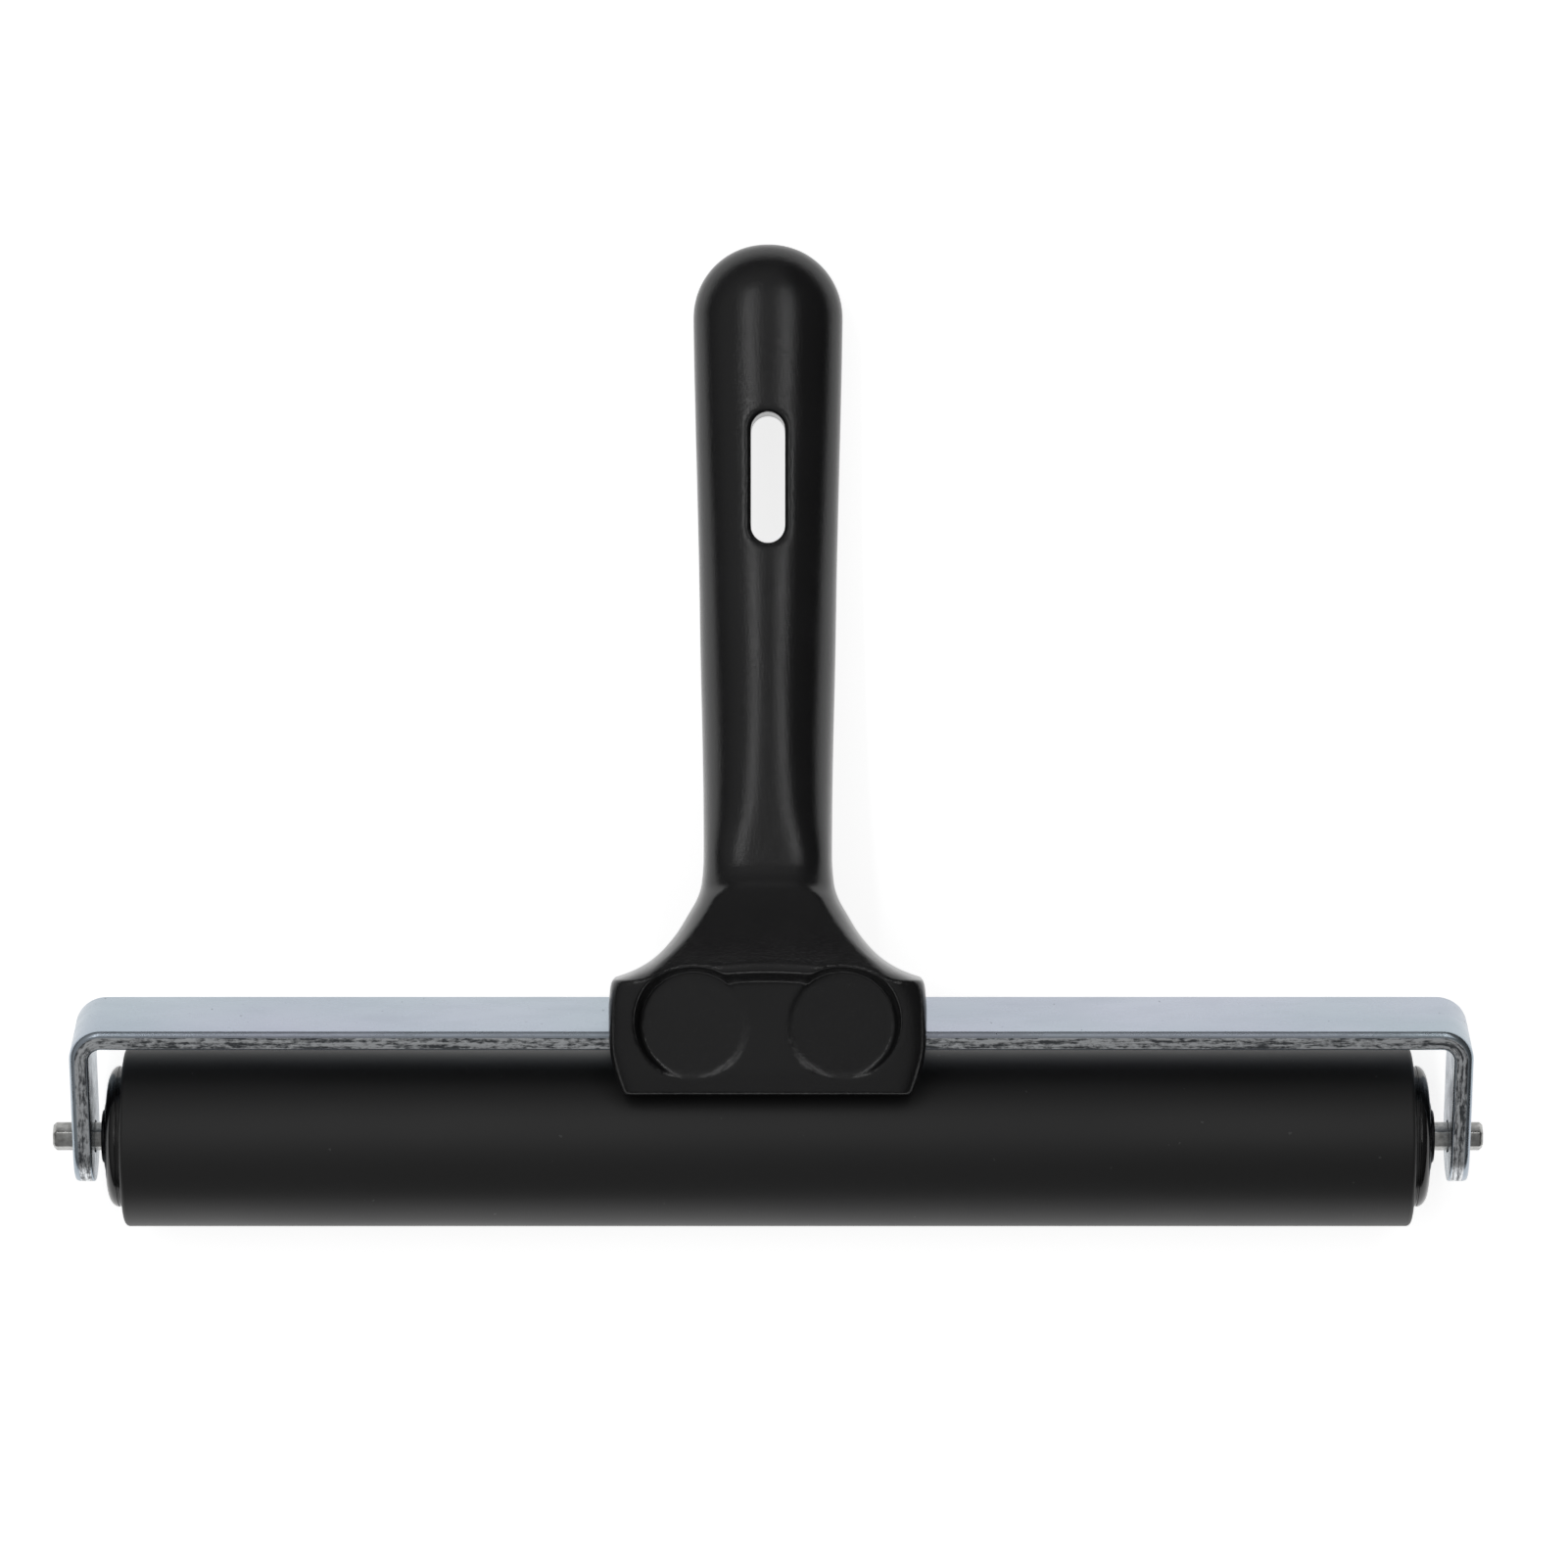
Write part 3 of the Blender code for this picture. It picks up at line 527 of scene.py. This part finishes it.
def end_cap(label, side):
    """A glossy flange with a rolled outer edge, a shallow dished face and a raised lip round the hub."""
    mouth = HUB_RADIUS + GAP
    pocket = BEARING_RADIUS + GAP
    face = HALF + CAP_FACE
    rim = HALF + CAP_RIM
    foot = HALF + CAP_FOOT
    bevel = 0.15 * MM
    groove = 0.12 * MM
    plug_bevel = 0.4 * MM
    profile = [
        (mouth, HALF + CAP_SHOULDER),
        (mouth, face - bevel),
        (mouth + bevel, face),
        (mouth + 1 * MM, face),
        (mouth + 1.2 * MM, face - 0.12 * MM),
        (mouth + 1.4 * MM, face - CAP_LIP),
    ]
    steps = 12
    for index in range(steps + 1):
        angle = math.pi / 2 * (1 - index / steps)
        out = TUBE_RADIUS - CAP_ROUND + CAP_ROUND * math.cos(angle)
        profile.append((out, foot + (rim - foot) * math.sin(angle)))
    profile += [
        (TUBE_RADIUS - groove, HALF + 0.85 * MM),
        (TUBE_RADIUS - groove, HALF + 0.7 * MM),
        (TUBE_RADIUS, HALF + 0.6 * MM),
        (TUBE_RADIUS, HALF + GAP),
        (PLUG_RADIUS, HALF + GAP),
        (PLUG_RADIUS, CAP_INNER + plug_bevel),
        (PLUG_RADIUS - plug_bevel, CAP_INNER),
        (pocket, CAP_INNER),
        (pocket, HALF + CAP_SHOULDER),
    ]
    mesh = shade(turned(mirrored(profile, side), 128), 30)
    stand_in(f"cap_{label}", mesh, GLOSS_BLACK, "roller", f"end_cap_{label}")


def bearing_ring(plain, sign):
    """Section of a ring, from its plain face to the round groove that the balls run in. Sign is 1 for the
    outer ring and -1 for the inner one."""
    opening = CAGE_WALL / 2 + GAP
    groove = BALL_RADIUS + GAP
    turn = math.degrees(math.acos(opening / groove))
    chamfer = 0.2 * MM
    face = PITCH_RADIUS + sign * opening
    edge = plain - sign * chamfer
    track = arc((BEARING_MIDDLE, sign * PITCH_RADIUS), groove, 90 + turn, 90 - turn, 10)
    profile = [(edge, BEARING_IN), (face, BEARING_IN)] + [(sign * r, z) for z, r in track]
    profile += [(face, BEARING_OUT), (edge, BEARING_OUT)]
    return profile + [(plain, BEARING_OUT - chamfer), (plain, BEARING_IN + chamfer)]


def ball_cage(label, side):
    """Eight balls, and a pressed cage with a pocket for each."""
    body = f"cage_{label}"
    low, high = PITCH_RADIUS - CAGE_WALL / 2, PITCH_RADIUS + CAGE_WALL / 2
    start, end = BEARING_MIDDLE - CAGE_WIDTH / 2, BEARING_MIDDLE + CAGE_WIDTH / 2
    bevel = 0.15 * MM
    profile = [(low, start + bevel), (low + bevel, start), (high - bevel, start), (high, start + bevel)]
    profile += [(high, end - bevel), (high - bevel, end), (low + bevel, end), (low, end - bevel)]
    pockets = []
    for index in range(BALL_COUNT):
        angle = 2 * math.pi * index / BALL_COUNT
        out = Vector((0, math.cos(angle), math.sin(angle)))
        centre = AXLE + Vector((side * BEARING_MIDDLE, 0, 0)) + out * PITCH_RADIUS
        aim = Matrix.Translation(centre) @ out.to_track_quat("Z", "Y").to_matrix().to_4x4()
        pockets.append(prism(BALL_RADIUS + GAP, -CAGE_WALL, CAGE_WALL, 24, aim))
        ball = bmesh.new()
        bmesh.ops.create_uvsphere(ball, u_segments=24, v_segments=16, radius=BALL_RADIUS)
        bmesh.ops.translate(ball, verts=ball.verts, vec=centre)
        mesh = bpy.data.meshes.new("ball")
        ball.to_mesh(mesh)
        ball.free()
        mesh.shade_smooth()
        node = f"ball_{label}_{index + 1}"
        stand_in(f"bearing_{node}", mesh, BEARING_STEEL, body, node)
    mesh = shade(cut(turned(mirrored(profile, side), 96), *pockets), 30)
    stand_in(f"ball_cage_{label}", mesh, BRASS, body, body)


def bearing(label, side):
    """Two ground rings with the cage and its balls between them."""
    rings = (("inner", BEARING_BORE, -1, "frame"), ("outer", BEARING_RADIUS, 1, "roller"))
    for kind, plain, sign, body in rings:
        mesh = shade(turned(mirrored(bearing_ring(plain, sign), side), 72))
        node = f"bearing_{kind}_{label}"
        stand_in(f"{kind}_ring_{label}", mesh, BEARING_STEEL, body, node)
    ball_cage(label, side)


# ---- Axle ----


def hex_sleeve(label, side):
    """A round hub with a turned face and a hexagonal bore."""
    bevel = 0.25 * MM
    seat = HALF + CAP_SHOULDER
    profile = [
        (0, HUB_FACE),
        (HUB_RADIUS - bevel, HUB_FACE),
        (HUB_RADIUS, HUB_FACE - bevel),
        (HUB_RADIUS, seat),
        (SLEEVE_RADIUS, seat),
        (SLEEVE_RADIUS, SLEEVE_IN + bevel),
        (SLEEVE_RADIUS - bevel, SLEEVE_IN),
        (0, SLEEVE_IN),
    ]
    bore = (AXLE_FLATS / 2 + GAP) * HEX
    low, high = sorted((side * (SLEEVE_IN - MM), side * (HUB_FACE + MM)))
    mesh = cut(turned(mirrored(profile, side), 72), prism(bore, low, high, 6, AT_AXLE @ AXLE_SPIN))
    node = f"hex_sleeve_{label}"
    stand_in(f"hub_{label}", shade(mesh, 25), BLACK_STEEL, "frame", node)


def hex_axle():
    """Drawn hexagonal bar, its long edges broken and its ends chamfered and faced."""
    mouth = GAP / 2
    end = [
        (AXLE_CORNER - AXLE_CHAMFER, AXLE_END),
        (AXLE_CORNER, AXLE_END - AXLE_CHAMFER),
        (AXLE_CORNER, RING_OUT + mouth),
        (AXLE_CORNER - GROOVE_DEPTH, RING_OUT + mouth),
        (AXLE_CORNER - GROOVE_DEPTH, RING_IN - mouth),
        (AXLE_CORNER, RING_IN - mouth),
    ]
    profile = [(0, 0)] + end + [(r, -z) for r, z in reversed(end)] + [(0, 0)]
    mesh = turned(profile, 6, AXLE_SPIN)
    bevel = {"width": 0.16 * MM, "segments": 3, "limit_method": "ANGLE", "angle_limit": math.radians(30)}
    mesh = shade(evaluated(mesh, ("BEVEL", bevel)), 50)
    stand_in("axle_bar", mesh, AXLE_STEEL, "frame", "hex_axle")


def retaining_ring(label, side):
    """A thin ring in the axle's groove."""
    bevel = 0.12 * MM
    inner = AXLE_CORNER - GROOVE_DEPTH + GAP / 2
    profile = [
        (RING_RADIUS, RING_OUT - bevel),
        (RING_RADIUS, RING_IN + bevel),
        (RING_RADIUS - bevel, RING_IN),
        (inner, RING_IN),
        (inner, RING_OUT),
        (RING_RADIUS - bevel, RING_OUT),
    ]
    node = f"retaining_ring_{label}"
    mesh = shade(turned(mirrored(profile, side), 64))
    stand_in(f"axle_{node}", mesh, BLACK_STEEL, "frame", node)


# ---- Yoke ----


def strip_section(half_width):
    """The strip's section as (thickness, width) points. The corners of the outer face are well rolled and
    those of the inner face nearly sharp."""
    outer, inner = min(STRIP_ROLL, half_width), min(STRIP_BURR, half_width)
    half = STRIP_THICK / 2
    corners = ((1, 1, outer), (-1, 1, inner), (-1, -1, inner), (1, -1, outer))
    points = []
    for quarter, (face, side, roll) in enumerate(corners):
        centre = (face * (half - roll), side * (half_width - roll))
        points += arc(centre, roll, 90 * quarter, 90 * (quarter + 1), CORNER_STEPS)
    return points


def lay_texture(mesh, lengths):
    """Gives the strip texture coordinates in metres, along it and round it, and its second material on the
    narrow sides, which are the faces between an outer and an inner corner."""
    count = 4 * (CORNER_STEPS + 1)
    step_round = STRIP_WIDTH / 16
    layer = mesh.uv_layers.new(name="strip", do_init=False)
    for face in mesh.polygons[: count * (len(lengths) - 1)]:
        place = face.index % count
        for loop in face.loop_indices:
            row, step = divmod(mesh.loops[loop].vertex_index, count)
            if place == count - 1 and step == 0:
                step = count
            layer.data[loop].uv = (lengths[row], step * step_round)
        face.material_index = int(place % (count // 2) == CORNER_STEPS)


def yoke():
    """The strip, swept along a U in the plane of the roller and the arms."""
    radius = BEND_RADIUS + STRIP_THICK / 2
    across = ARM_OUT - STRIP_THICK / 2
    round_end = STRIP_WIDTH / 2
    least = 0.25 * MM
    end = [(across, -round_end * math.cos(math.pi / 2 * i / 14)) for i in range(15)]
    arm = [(across, (STRIP_MIDDLE - radius) * i / 8) for i in range(1, 9)]
    bend = arc((across - radius, STRIP_MIDDLE - radius), radius, 0, 90, 16)[1:]
    bar = [((across - radius) * (1 - i / 12), STRIP_MIDDLE) for i in range(1, 13)]
    half = end + arm + bend + bar
    path = half + [(-x, a) for x, a in reversed(half[:-1])]
    rings = []
    lengths = [0]
    for first, second in zip(path, path[1:]):
        lengths.append(lengths[-1] + math.dist(first, second))
    for index, (x, along) in enumerate(path):
        before = path[max(index - 1, 0)]
        after = path[min(index + 1, len(path) - 1)]
        tangent = Vector((after[0] - before[0], after[1] - before[1])).normalized()
        outward = Vector((tangent.y, -tangent.x))
        inside = min(-along / round_end, 1) if along < 0 else 0
        width = max(round_end * math.sqrt(1 - inside * inside), least)
        ring = []
        for thick, wide in strip_section(width):
            ring.append((x + outward.x * thick, along + outward.y * thick, wide))
        rings.append(ring)
    mesh = loft(rings)
    mesh.materials.append(ZINC)
    mesh.materials.append(SHEARED_EDGE)
    lay_texture(mesh, lengths)
    mesh.transform(Matrix.Translation((YOKE_OFFSET, 0, 0)) @ AT_AXLE @ LEAN)
    reach = ARM_OUT + STRIP_WIDTH
    hole = prism(HOLE_FLATS / 2 * HEX, -reach, reach, 6, AT_AXLE @ LEAN @ TO_X @ HEX_UP)
    cutters = [hole]
    for x in (-PAD_SPREAD, PAD_SPREAD):
        turn = Matrix.Translation((x, 0, 0)) @ AT_AXLE @ ALONG_SCREW
        cutters.append(prism(SCREW_RADIUS + GAP, STRIP_IN - MM, STRIP_OUT + MM, 32, turn))
    mesh = shade(cut(mesh, *cutters), 35)
    stand_in("yoke_strip", mesh, None, "frame", "yoke")


def screw(label, x):
    """A pan-head screw with a cross recess and a coarse thread."""
    seat = STRIP_IN - GAP
    face = seat - SCREW_HEAD
    end = seat + SCREW_LENGTH
    dome = 1.6 * MM
    shank = 5 * MM
    point = 1.6 * MM
    head = arc((seat - 0.9 * MM, SCREW_HEAD_RADIUS - dome), dome, 90, 150, 6)
    head = [(r, max(z, face)) for z, r in head]
    turns = int((SCREW_LENGTH - shank) / THREAD_PITCH)
    start = end - point - turns * THREAD_PITCH
    thread = []
    for index in range(2 * turns + 1):
        depth = THREAD_DEPTH if index % 2 else 0
        thread.append((SCREW_RADIUS - depth, start + index * THREAD_PITCH / 2))
    profile = [(0, face)] + list(reversed(head)) + [(SCREW_HEAD_RADIUS, seat), (SCREW_RADIUS, seat)]
    profile += thread + [(0.5 * SCREW_RADIUS, end - 0.4 * MM), (0.2 * SCREW_RADIUS, end), (0, end)]
    mesh = turned(profile, 48, Matrix.Translation((x, 0, 0)) @ ALONG_SCREW)
    half = 0.4 * MM
    reach = 1.8 * MM
    bars = []
    for arm, depth in ((0, 1 * MM), (math.pi / 2, 0.9 * MM)):
        bar = [(-reach, -half), (reach, -half), (reach, half), (-reach, half)]
        turn = Matrix.Translation((x, 0, 0)) @ AT_AXLE @ ALONG_SCREW @ Matrix.Rotation(arm, 4, "Z")
        bars.append(plate(bar, face - MM, face + depth, turn))
    mesh = shade(cut(mesh, *bars), 30)
    stand_in(f"handle_screw_{label}", mesh, SCREW_STEEL, "frame", f"screw_{label}")


# ---- Handle ----


def grip_middle(y):
    """Height of the grip's centre line above the axle."""
    back = DOME_Y - y
    return REST + math.tan(TIP_SLOPE) * back + ARCH * back * back


def key_sections():
    """The sections that set the handle's shape: (place, half width, top, bottom, squareness)."""
    sections = []
    for y, width, top, bottom, squareness in HEAD:
        low, high = STRIP_Z + bottom * MM, STRIP_Z + top * MM
        sections.append((STRIP_Y + y * MM, width * MM, high, low, squareness))
    for share, width, thick, squareness in GRIP:
        y = NECK_Y + GRIP_LENGTH * share
        middle = grip_middle(y)
        sections.append((y, width * MM, middle + thick * MM, middle - thick * MM, squareness))
    return sections


def between(keys, y):
    """A section at y, on curves through the key sections that never overshoot them."""
    index = max(i for i in range(len(keys) - 1) if keys[i][0] <= y or i == 0)
    first, second = keys[index], keys[index + 1]
    step = second[0] - first[0]
    share = (y - first[0]) / step
    values = [y]
    for column in range(1, 5):
        slopes = [(b[column] - a[column]) / (b[0] - a[0]) for a, b in zip(keys, keys[1:])]
        here = slopes[index]
        before = slopes[max(index - 1, 0)]
        after = slopes[min(index + 1, len(slopes) - 1)]
        start = 0 if before * here <= 0 else 2 * before * here / (before + here)
        end = 0 if here * after <= 0 else 2 * here * after / (here + after)
        s2, s3 = share * share, share**3
        value = (2 * s3 - 3 * s2 + 1) * first[column] + (s3 - 2 * s2 + share) * step * start
        value += (3 * s2 - 2 * s3) * second[column] + (s3 - s2) * step * end
        values.append(value)
    return tuple(values)


def section_ring(y, width, top, bottom, squareness):
    """One section of the handle: a rounded oblong across it."""
    count = 144
    power = 2 / squareness
    points = []
    for index in range(count):
        angle = 2 * math.pi * index / count
        across = math.copysign(abs(math.sin(angle)) ** power, math.sin(angle))
        up = math.copysign(abs(math.cos(angle)) ** power, math.cos(angle))
        points.append((width * across, y, (top + bottom) / 2 + (top - bottom) / 2 * up))
    return points


def handle_solid():
    """The whole handle before anything is cut from it."""
    keys = key_sections()
    head_end = keys[len(HEAD) - 1][0]
    spacing = 0.5 * MM
    places = []
    for first, second in zip(keys, keys[1 : len(HEAD)]):
        steps = max(round((second[0] - first[0]) / spacing), 2)
        places += [first[0] + (second[0] - first[0]) * i / steps for i in range(steps)]
    grip_steps = 60
    places += [head_end + (DOME_Y - head_end) * i / grip_steps for i in range(grip_steps + 1)]
    rings = [section_ring(*between(keys, y)) for y in places]
    _, width, thick, squareness = GRIP[-1]
    dome_steps = 20
    # A little less than the whole quarter, so that the last ring isn't a point.
    share = 0.985
    for step in range(1, dome_steps + 1):
        angle = math.pi / 2 * step / dome_steps
        y = DOME_Y + DOME_LENGTH * math.sin(angle)
        shrink = math.cos(share * angle)
        rise = thick * MM * shrink
        middle = grip_middle(y)
        rings.append(section_ring(y, width * MM * shrink, middle + rise, middle - rise, squareness))
    mesh = loft(rings)
    mesh.transform(AT_AXLE)
    return mesh


def surface_height(x, y, top=True):
    """Height of the grip's top or underside above the axle at (x, y)."""
    _, width, high, low, squareness = between(key_sections(), y)
    rise = (1 - min(abs(x) / width, 1) ** squareness) ** (1 / squareness)
    return (high + low) / 2 + (high - low) / 2 * (rise if top else -rise)


def slot_cutter():
    """A long round-ended hole whose mouths open in a quarter round, on top and underneath."""
    half = (SLOT_LENGTH - SLOT_WIDTH) / 2
    levels = [(SLOT_LIP * 1.5, SLOT_LIP * -0.9)]
    steps = 6
    for index in range(steps + 1):
        angle = math.pi / 2 * index / steps
        levels.append((SLOT_LIP * (1 - math.sin(angle)), SLOT_LIP * (1 - math.cos(angle))))
    rings = []
    for top in (True, False):
        for outset, depth in levels if top else reversed(levels):
            radius = SLOT_WIDTH / 2 + outset
            outline = arc((0, half), radius, 0, 180, 24) + arc((0, -half), radius, 180, 360, 24)
            ring = []
            for x, y in outline:
                y += SLOT_PLACE
                z = surface_height(x, y, top) - (depth if top else -depth)
                ring.append((x, y, z))
            rings.append(ring)
    mesh = loft(rings)
    mesh.transform(AT_AXLE)
    return mesh


def scoop_line():
    """The thumb rest: from the ridge's crest down a slope that eases off towards the neck."""
    y = RIDGE[0] + RIDGE_ROUND * math.sin(SCOOP_START_SLOPE)
    z = RIDGE[1] - RIDGE_ROUND * (1 - math.cos(SCOOP_START_SLOPE))
    fall = (z - SCOOP_END[1]) / (SCOOP_END[0] - y)
    curve = (math.tan(SCOOP_START_SLOPE) - fall) / fall
    line = []
    steps = 40
    for index in range(steps + 1):
        left = 1 - index / steps
        height = (1 - curve) * left + curve * left * left
        line.append((SCOOP_END[0] - (SCOOP_END[0] - y) * left, SCOOP_END[1] + (z - SCOOP_END[1]) * height))
    return line


def valley_line():
    """The front face between the pads: a gentle slope, a small fillet and a steep wall up to the crest."""
    wall = math.tan(VALLEY_WALL)
    floor = math.tan(VALLEY_SLOPE)
    top_y = RIDGE[0] - RIDGE_ROUND * math.sin(VALLEY_WALL)
    top_z = RIDGE[1] - RIDGE_ROUND * (1 - math.cos(VALLEY_WALL))
    foot_y = PAD_FOOT[0] - VALLEY_START
    foot_z = VALLEY_FOOT - floor * VALLEY_START
    turn_y = (foot_z - floor * foot_y - top_z + wall * top_y) / (wall - floor)
    turn_z = foot_z + floor * (turn_y - foot_y)
    reach = VALLEY_ROUND * math.tan((VALLEY_WALL - VALLEY_SLOPE) / 2)
    centre_y = turn_y - reach * math.cos(VALLEY_SLOPE) - VALLEY_ROUND * math.sin(VALLEY_SLOPE)
    centre_z = turn_z - reach * math.sin(VALLEY_SLOPE) + VALLEY_ROUND * math.cos(VALLEY_SLOPE)
    low, high = math.degrees(VALLEY_SLOPE) - 90, math.degrees(VALLEY_WALL) - 90
    fillet = arc((centre_y, centre_z), VALLEY_ROUND, low, high, 8)
    crest = arc((RIDGE[0], RIDGE[1] - RIDGE_ROUND), RIDGE_ROUND, 90 + math.degrees(VALLEY_WALL), 90, 8)
    return [(foot_y, foot_z)] + fillet + crest


def front_cutters():
    """What makes room in the head: its front end with a rounded corner, the roller's space and the strip's
    seat."""
    side = AT_AXLE @ LEAN @ SIDE_VIEW
    rounded = arc((SKIRT_END + SKIRT_ROUND, SKIRT_TOP), SKIRT_ROUND, 180, 94.5, 8)
    outline = [(-FAR, -FAR), (SKIRT_END, -FAR)] + rounded + [(rounded[-1][0], FAR), (-FAR, FAR)]
    skirt = plate(outline, -FAR, FAR, side)
    space = prism(RUBBER_RADIUS + SKIRT_CLEARANCE, -FAR, FAR, 128, AT_AXLE @ TO_X)
    half = STRIP_WIDTH / 2 + GAP
    seat = STRIP_OUT + GAP
    bed = plate([(-FAR, -half), (seat, -half), (seat, half), (-FAR, half)], -FAR, FAR, side)
    return [skirt, space, bed]


def relief_cutters(sky):
    """The thumb rest behind the ridge and the valley in front of it, both open to the sky."""
    slope = math.degrees(SCOOP_START_SLOPE)
    crest = arc((RIDGE[0], RIDGE[1] - RIDGE_ROUND), RIDGE_ROUND, 90, 90 - slope, 8)
    line = crest[:-1] + scoop_line()
    end = SCOOP_END[0] + 4 * MM
    scoop = bowed(line + [(end, line[-1][1]), (end, sky), (RIDGE[0], sky)], 28 * MM, -FAR)
    line = valley_line()
    start = line[0][0]
    # The two cuts overlap by this much, so that no film is left on the ridge.
    past = RIDGE[0] + 0.05 * MM
    valley = bowed(line + [(past, line[-1][1]), (past, sky), (start, sky)], PAD_SPREAD, start)
    return [scoop, valley]


def pad_cutter(sign, sky):
    """A round pad with drafted walls, whose floor slopes with the front face and leans outward."""
    upper = PAD_RADIUS + (sky - PAD_FOOT[1]) * math.tan(PAD_DRAFT)
    pad = prism(PAD_RADIUS, PAD_FOOT[1], sky, 120, Matrix.Identity(4), upper)
    for vert in pad.vertices:
        if vert.co.z < sky - MM:
            y = PAD_MIDDLE + vert.co.y - PAD_FOOT[0]
            outward = sign * vert.co.x
            vert.co.z = PAD_FOOT[1] + math.tan(PAD_SLOPE) * y - math.tan(PAD_LEAN) * outward
    pad.transform(AT_STRIP @ Matrix.Translation((sign * PAD_SPREAD, PAD_MIDDLE, 0)))
    return pad


def screw_hole(x):
    """The hole in the head for the screw at x."""
    end = STRIP_IN + SCREW_LENGTH + MM
    turn = Matrix.Translation((x, 0, 0)) @ AT_AXLE @ ALONG_SCREW
    return prism(SCREW_RADIUS + GAP, STRIP_MIDDLE, end, 32, turn)


def handle():
    """The cut solid, made one even skin whose edges have the small radii of a moulding."""
    sky = RIDGE[1] + 20 * MM
    cutters = [slot_cutter()] + front_cutters() + relief_cutters(sky)
    cutters += [pad_cutter(sign, sky) for sign in (-1, 1)]
    cutters += [screw_hole(x) for x in (-PAD_SPREAD, PAD_SPREAD)]
    mesh = cut(handle_solid(), *cutters)
    remesh = {"mode": "VOXEL", "voxel_size": MOULD_GRID, "use_smooth_shade": True}
    soften = {"factor": 0.5, "iterations": 6}
    mesh = evaluated(mesh, ("REMESH", remesh), ("SMOOTH", soften))
    mesh.shade_smooth()
    stand_in("handle_moulding", mesh, BLACK_PLASTIC, "frame", "handle")


# ---- Studio ----


def softbox(name, side):
    """A long narrow lamp above the table, parallel to the handle and turned to face the middle."""
    lamp = bpy.data.lights.new(name, "AREA")
    lamp.shape = "RECTANGLE"
    lamp.size, lamp.size_y = LAMP_SIZE
    lamp.energy = LAMP_POWER
    x, y, z = LAMP_PLACE
    obj = bpy.data.objects.new(name, lamp)
    obj.location = (side * x, y, z)
    obj.rotation_euler = (0, math.atan2(side * x, z), 0)
    obj.visible_camera = False
    bpy.context.scene.collection.objects.link(obj)


def studio():
    """A white table, two long softboxes overhead, and air that is darker at the sides and the horizon."""
    corners = ((-1, -1), (1, -1), (1, 1), (-1, 1))
    levels = (-0.02, TABLE_TOP)
    table = loft([[(x * TABLE_HALF, y * TABLE_HALF, z) for x, y in corners] for z in levels])
    paper = bpy.data.materials.new("white_paper_sweep")
    paper.use_nodes = True
    shader = paper.node_tree.nodes["Principled BSDF"]
    shader.inputs["Base Color"].default_value = linear("#E6E6E6")
    shader.inputs["Roughness"].default_value = 0.9
    shader.inputs["Specular IOR Level"].default_value = 0.1
    shader.inputs["Emission Color"].default_value = (1, 1, 1, 1)
    shader.inputs["Emission Strength"].default_value = 0.8
    table.materials.append(paper)
    floor = bpy.data.objects.new("studio_table", table)
    bpy.context.scene.collection.objects.link(floor)

    for side, name in ((-1, "left"), (1, "right")):
        softbox(f"overhead_{name}", side)
    world = bpy.data.worlds.new("studio_air")
    world.use_nodes = True
    tree = world.node_tree
    tree.nodes["Background"].inputs["Color"].default_value = (1, 1, 1, 1)
    direction = add(tree, "ShaderNodeTexCoord").outputs["Generated"]
    parts = add(tree, "ShaderNodeSeparateXYZ", {"Vector": direction}).outputs
    sides = spread(tree, parts["X"], 0.36, 0.1, 0.12, 0.4)
    low = spread(tree, parts["Z"], 0.12, 1, 0.08, 0.62)
    light = add(tree, "ShaderNodeMath", {0: sides, 1: low}, operation="MULTIPLY").outputs[0]
    tree.links.new(light, tree.nodes["Background"].inputs["Strength"])
    bpy.context.scene.world = world

    lens = bpy.data.cameras.new("studio_camera")
    lens.sensor_width = 36
    lens.lens = LENS
    lens.clip_start = 0.05
    lens.clip_end = 20
    camera = bpy.data.objects.new("studio_camera", lens)
    camera.location = CAMERA_PLACE
    bpy.context.scene.collection.objects.link(camera)
    bpy.context.scene.camera = camera
    bpy.context.scene.view_settings.view_transform = "Standard"


RUBBER = ground_rubber()
BLACK_PLASTIC = moulded_polypropylene()
GLOSS_BLACK = polished_abs()
ZINC = zinc_plated_steel("blue_zinc_plated_steel", "#A9B4BC", "#9FAAB4", 0.2, 0.34)
SHEARED_EDGE = sheared_edge()
SCREW_STEEL = zinc_plated_steel("zinc_plated_screw_steel", "#D0D4D8", "#B9BEC4", 0.2, 0.32)
AXLE_STEEL = drawn_steel("drawn_zinc_plated_steel", "#C2C2C0", "#8E8E8C", 0.22, 0.42)
BLACK_STEEL = drawn_steel("turned_blackened_steel", "#3A3A3D", "#28282A", 0.3, 0.45, (1, 20, 20))
BEARING_STEEL = drawn_steel("ground_bearing_steel", "#D2D4D8", "#BFC2C8", 0.06, 0.14, (1, 30, 30))
ALUMINIUM = drawn_steel("drawn_aluminium", "#D6D8DA", "#BEC1C4", 0.28, 0.4)
BRASS = pressed_brass()

studio()
rubber_sleeve()
core_tube()
for label, side in (("left", -1), ("right", 1)):
    end_cap(label, side)
    bearing(label, side)
    hex_sleeve(label, side)
    retaining_ring(label, side)
    screw(label, side * PAD_SPREAD)
hex_axle()
yoke()
handle()
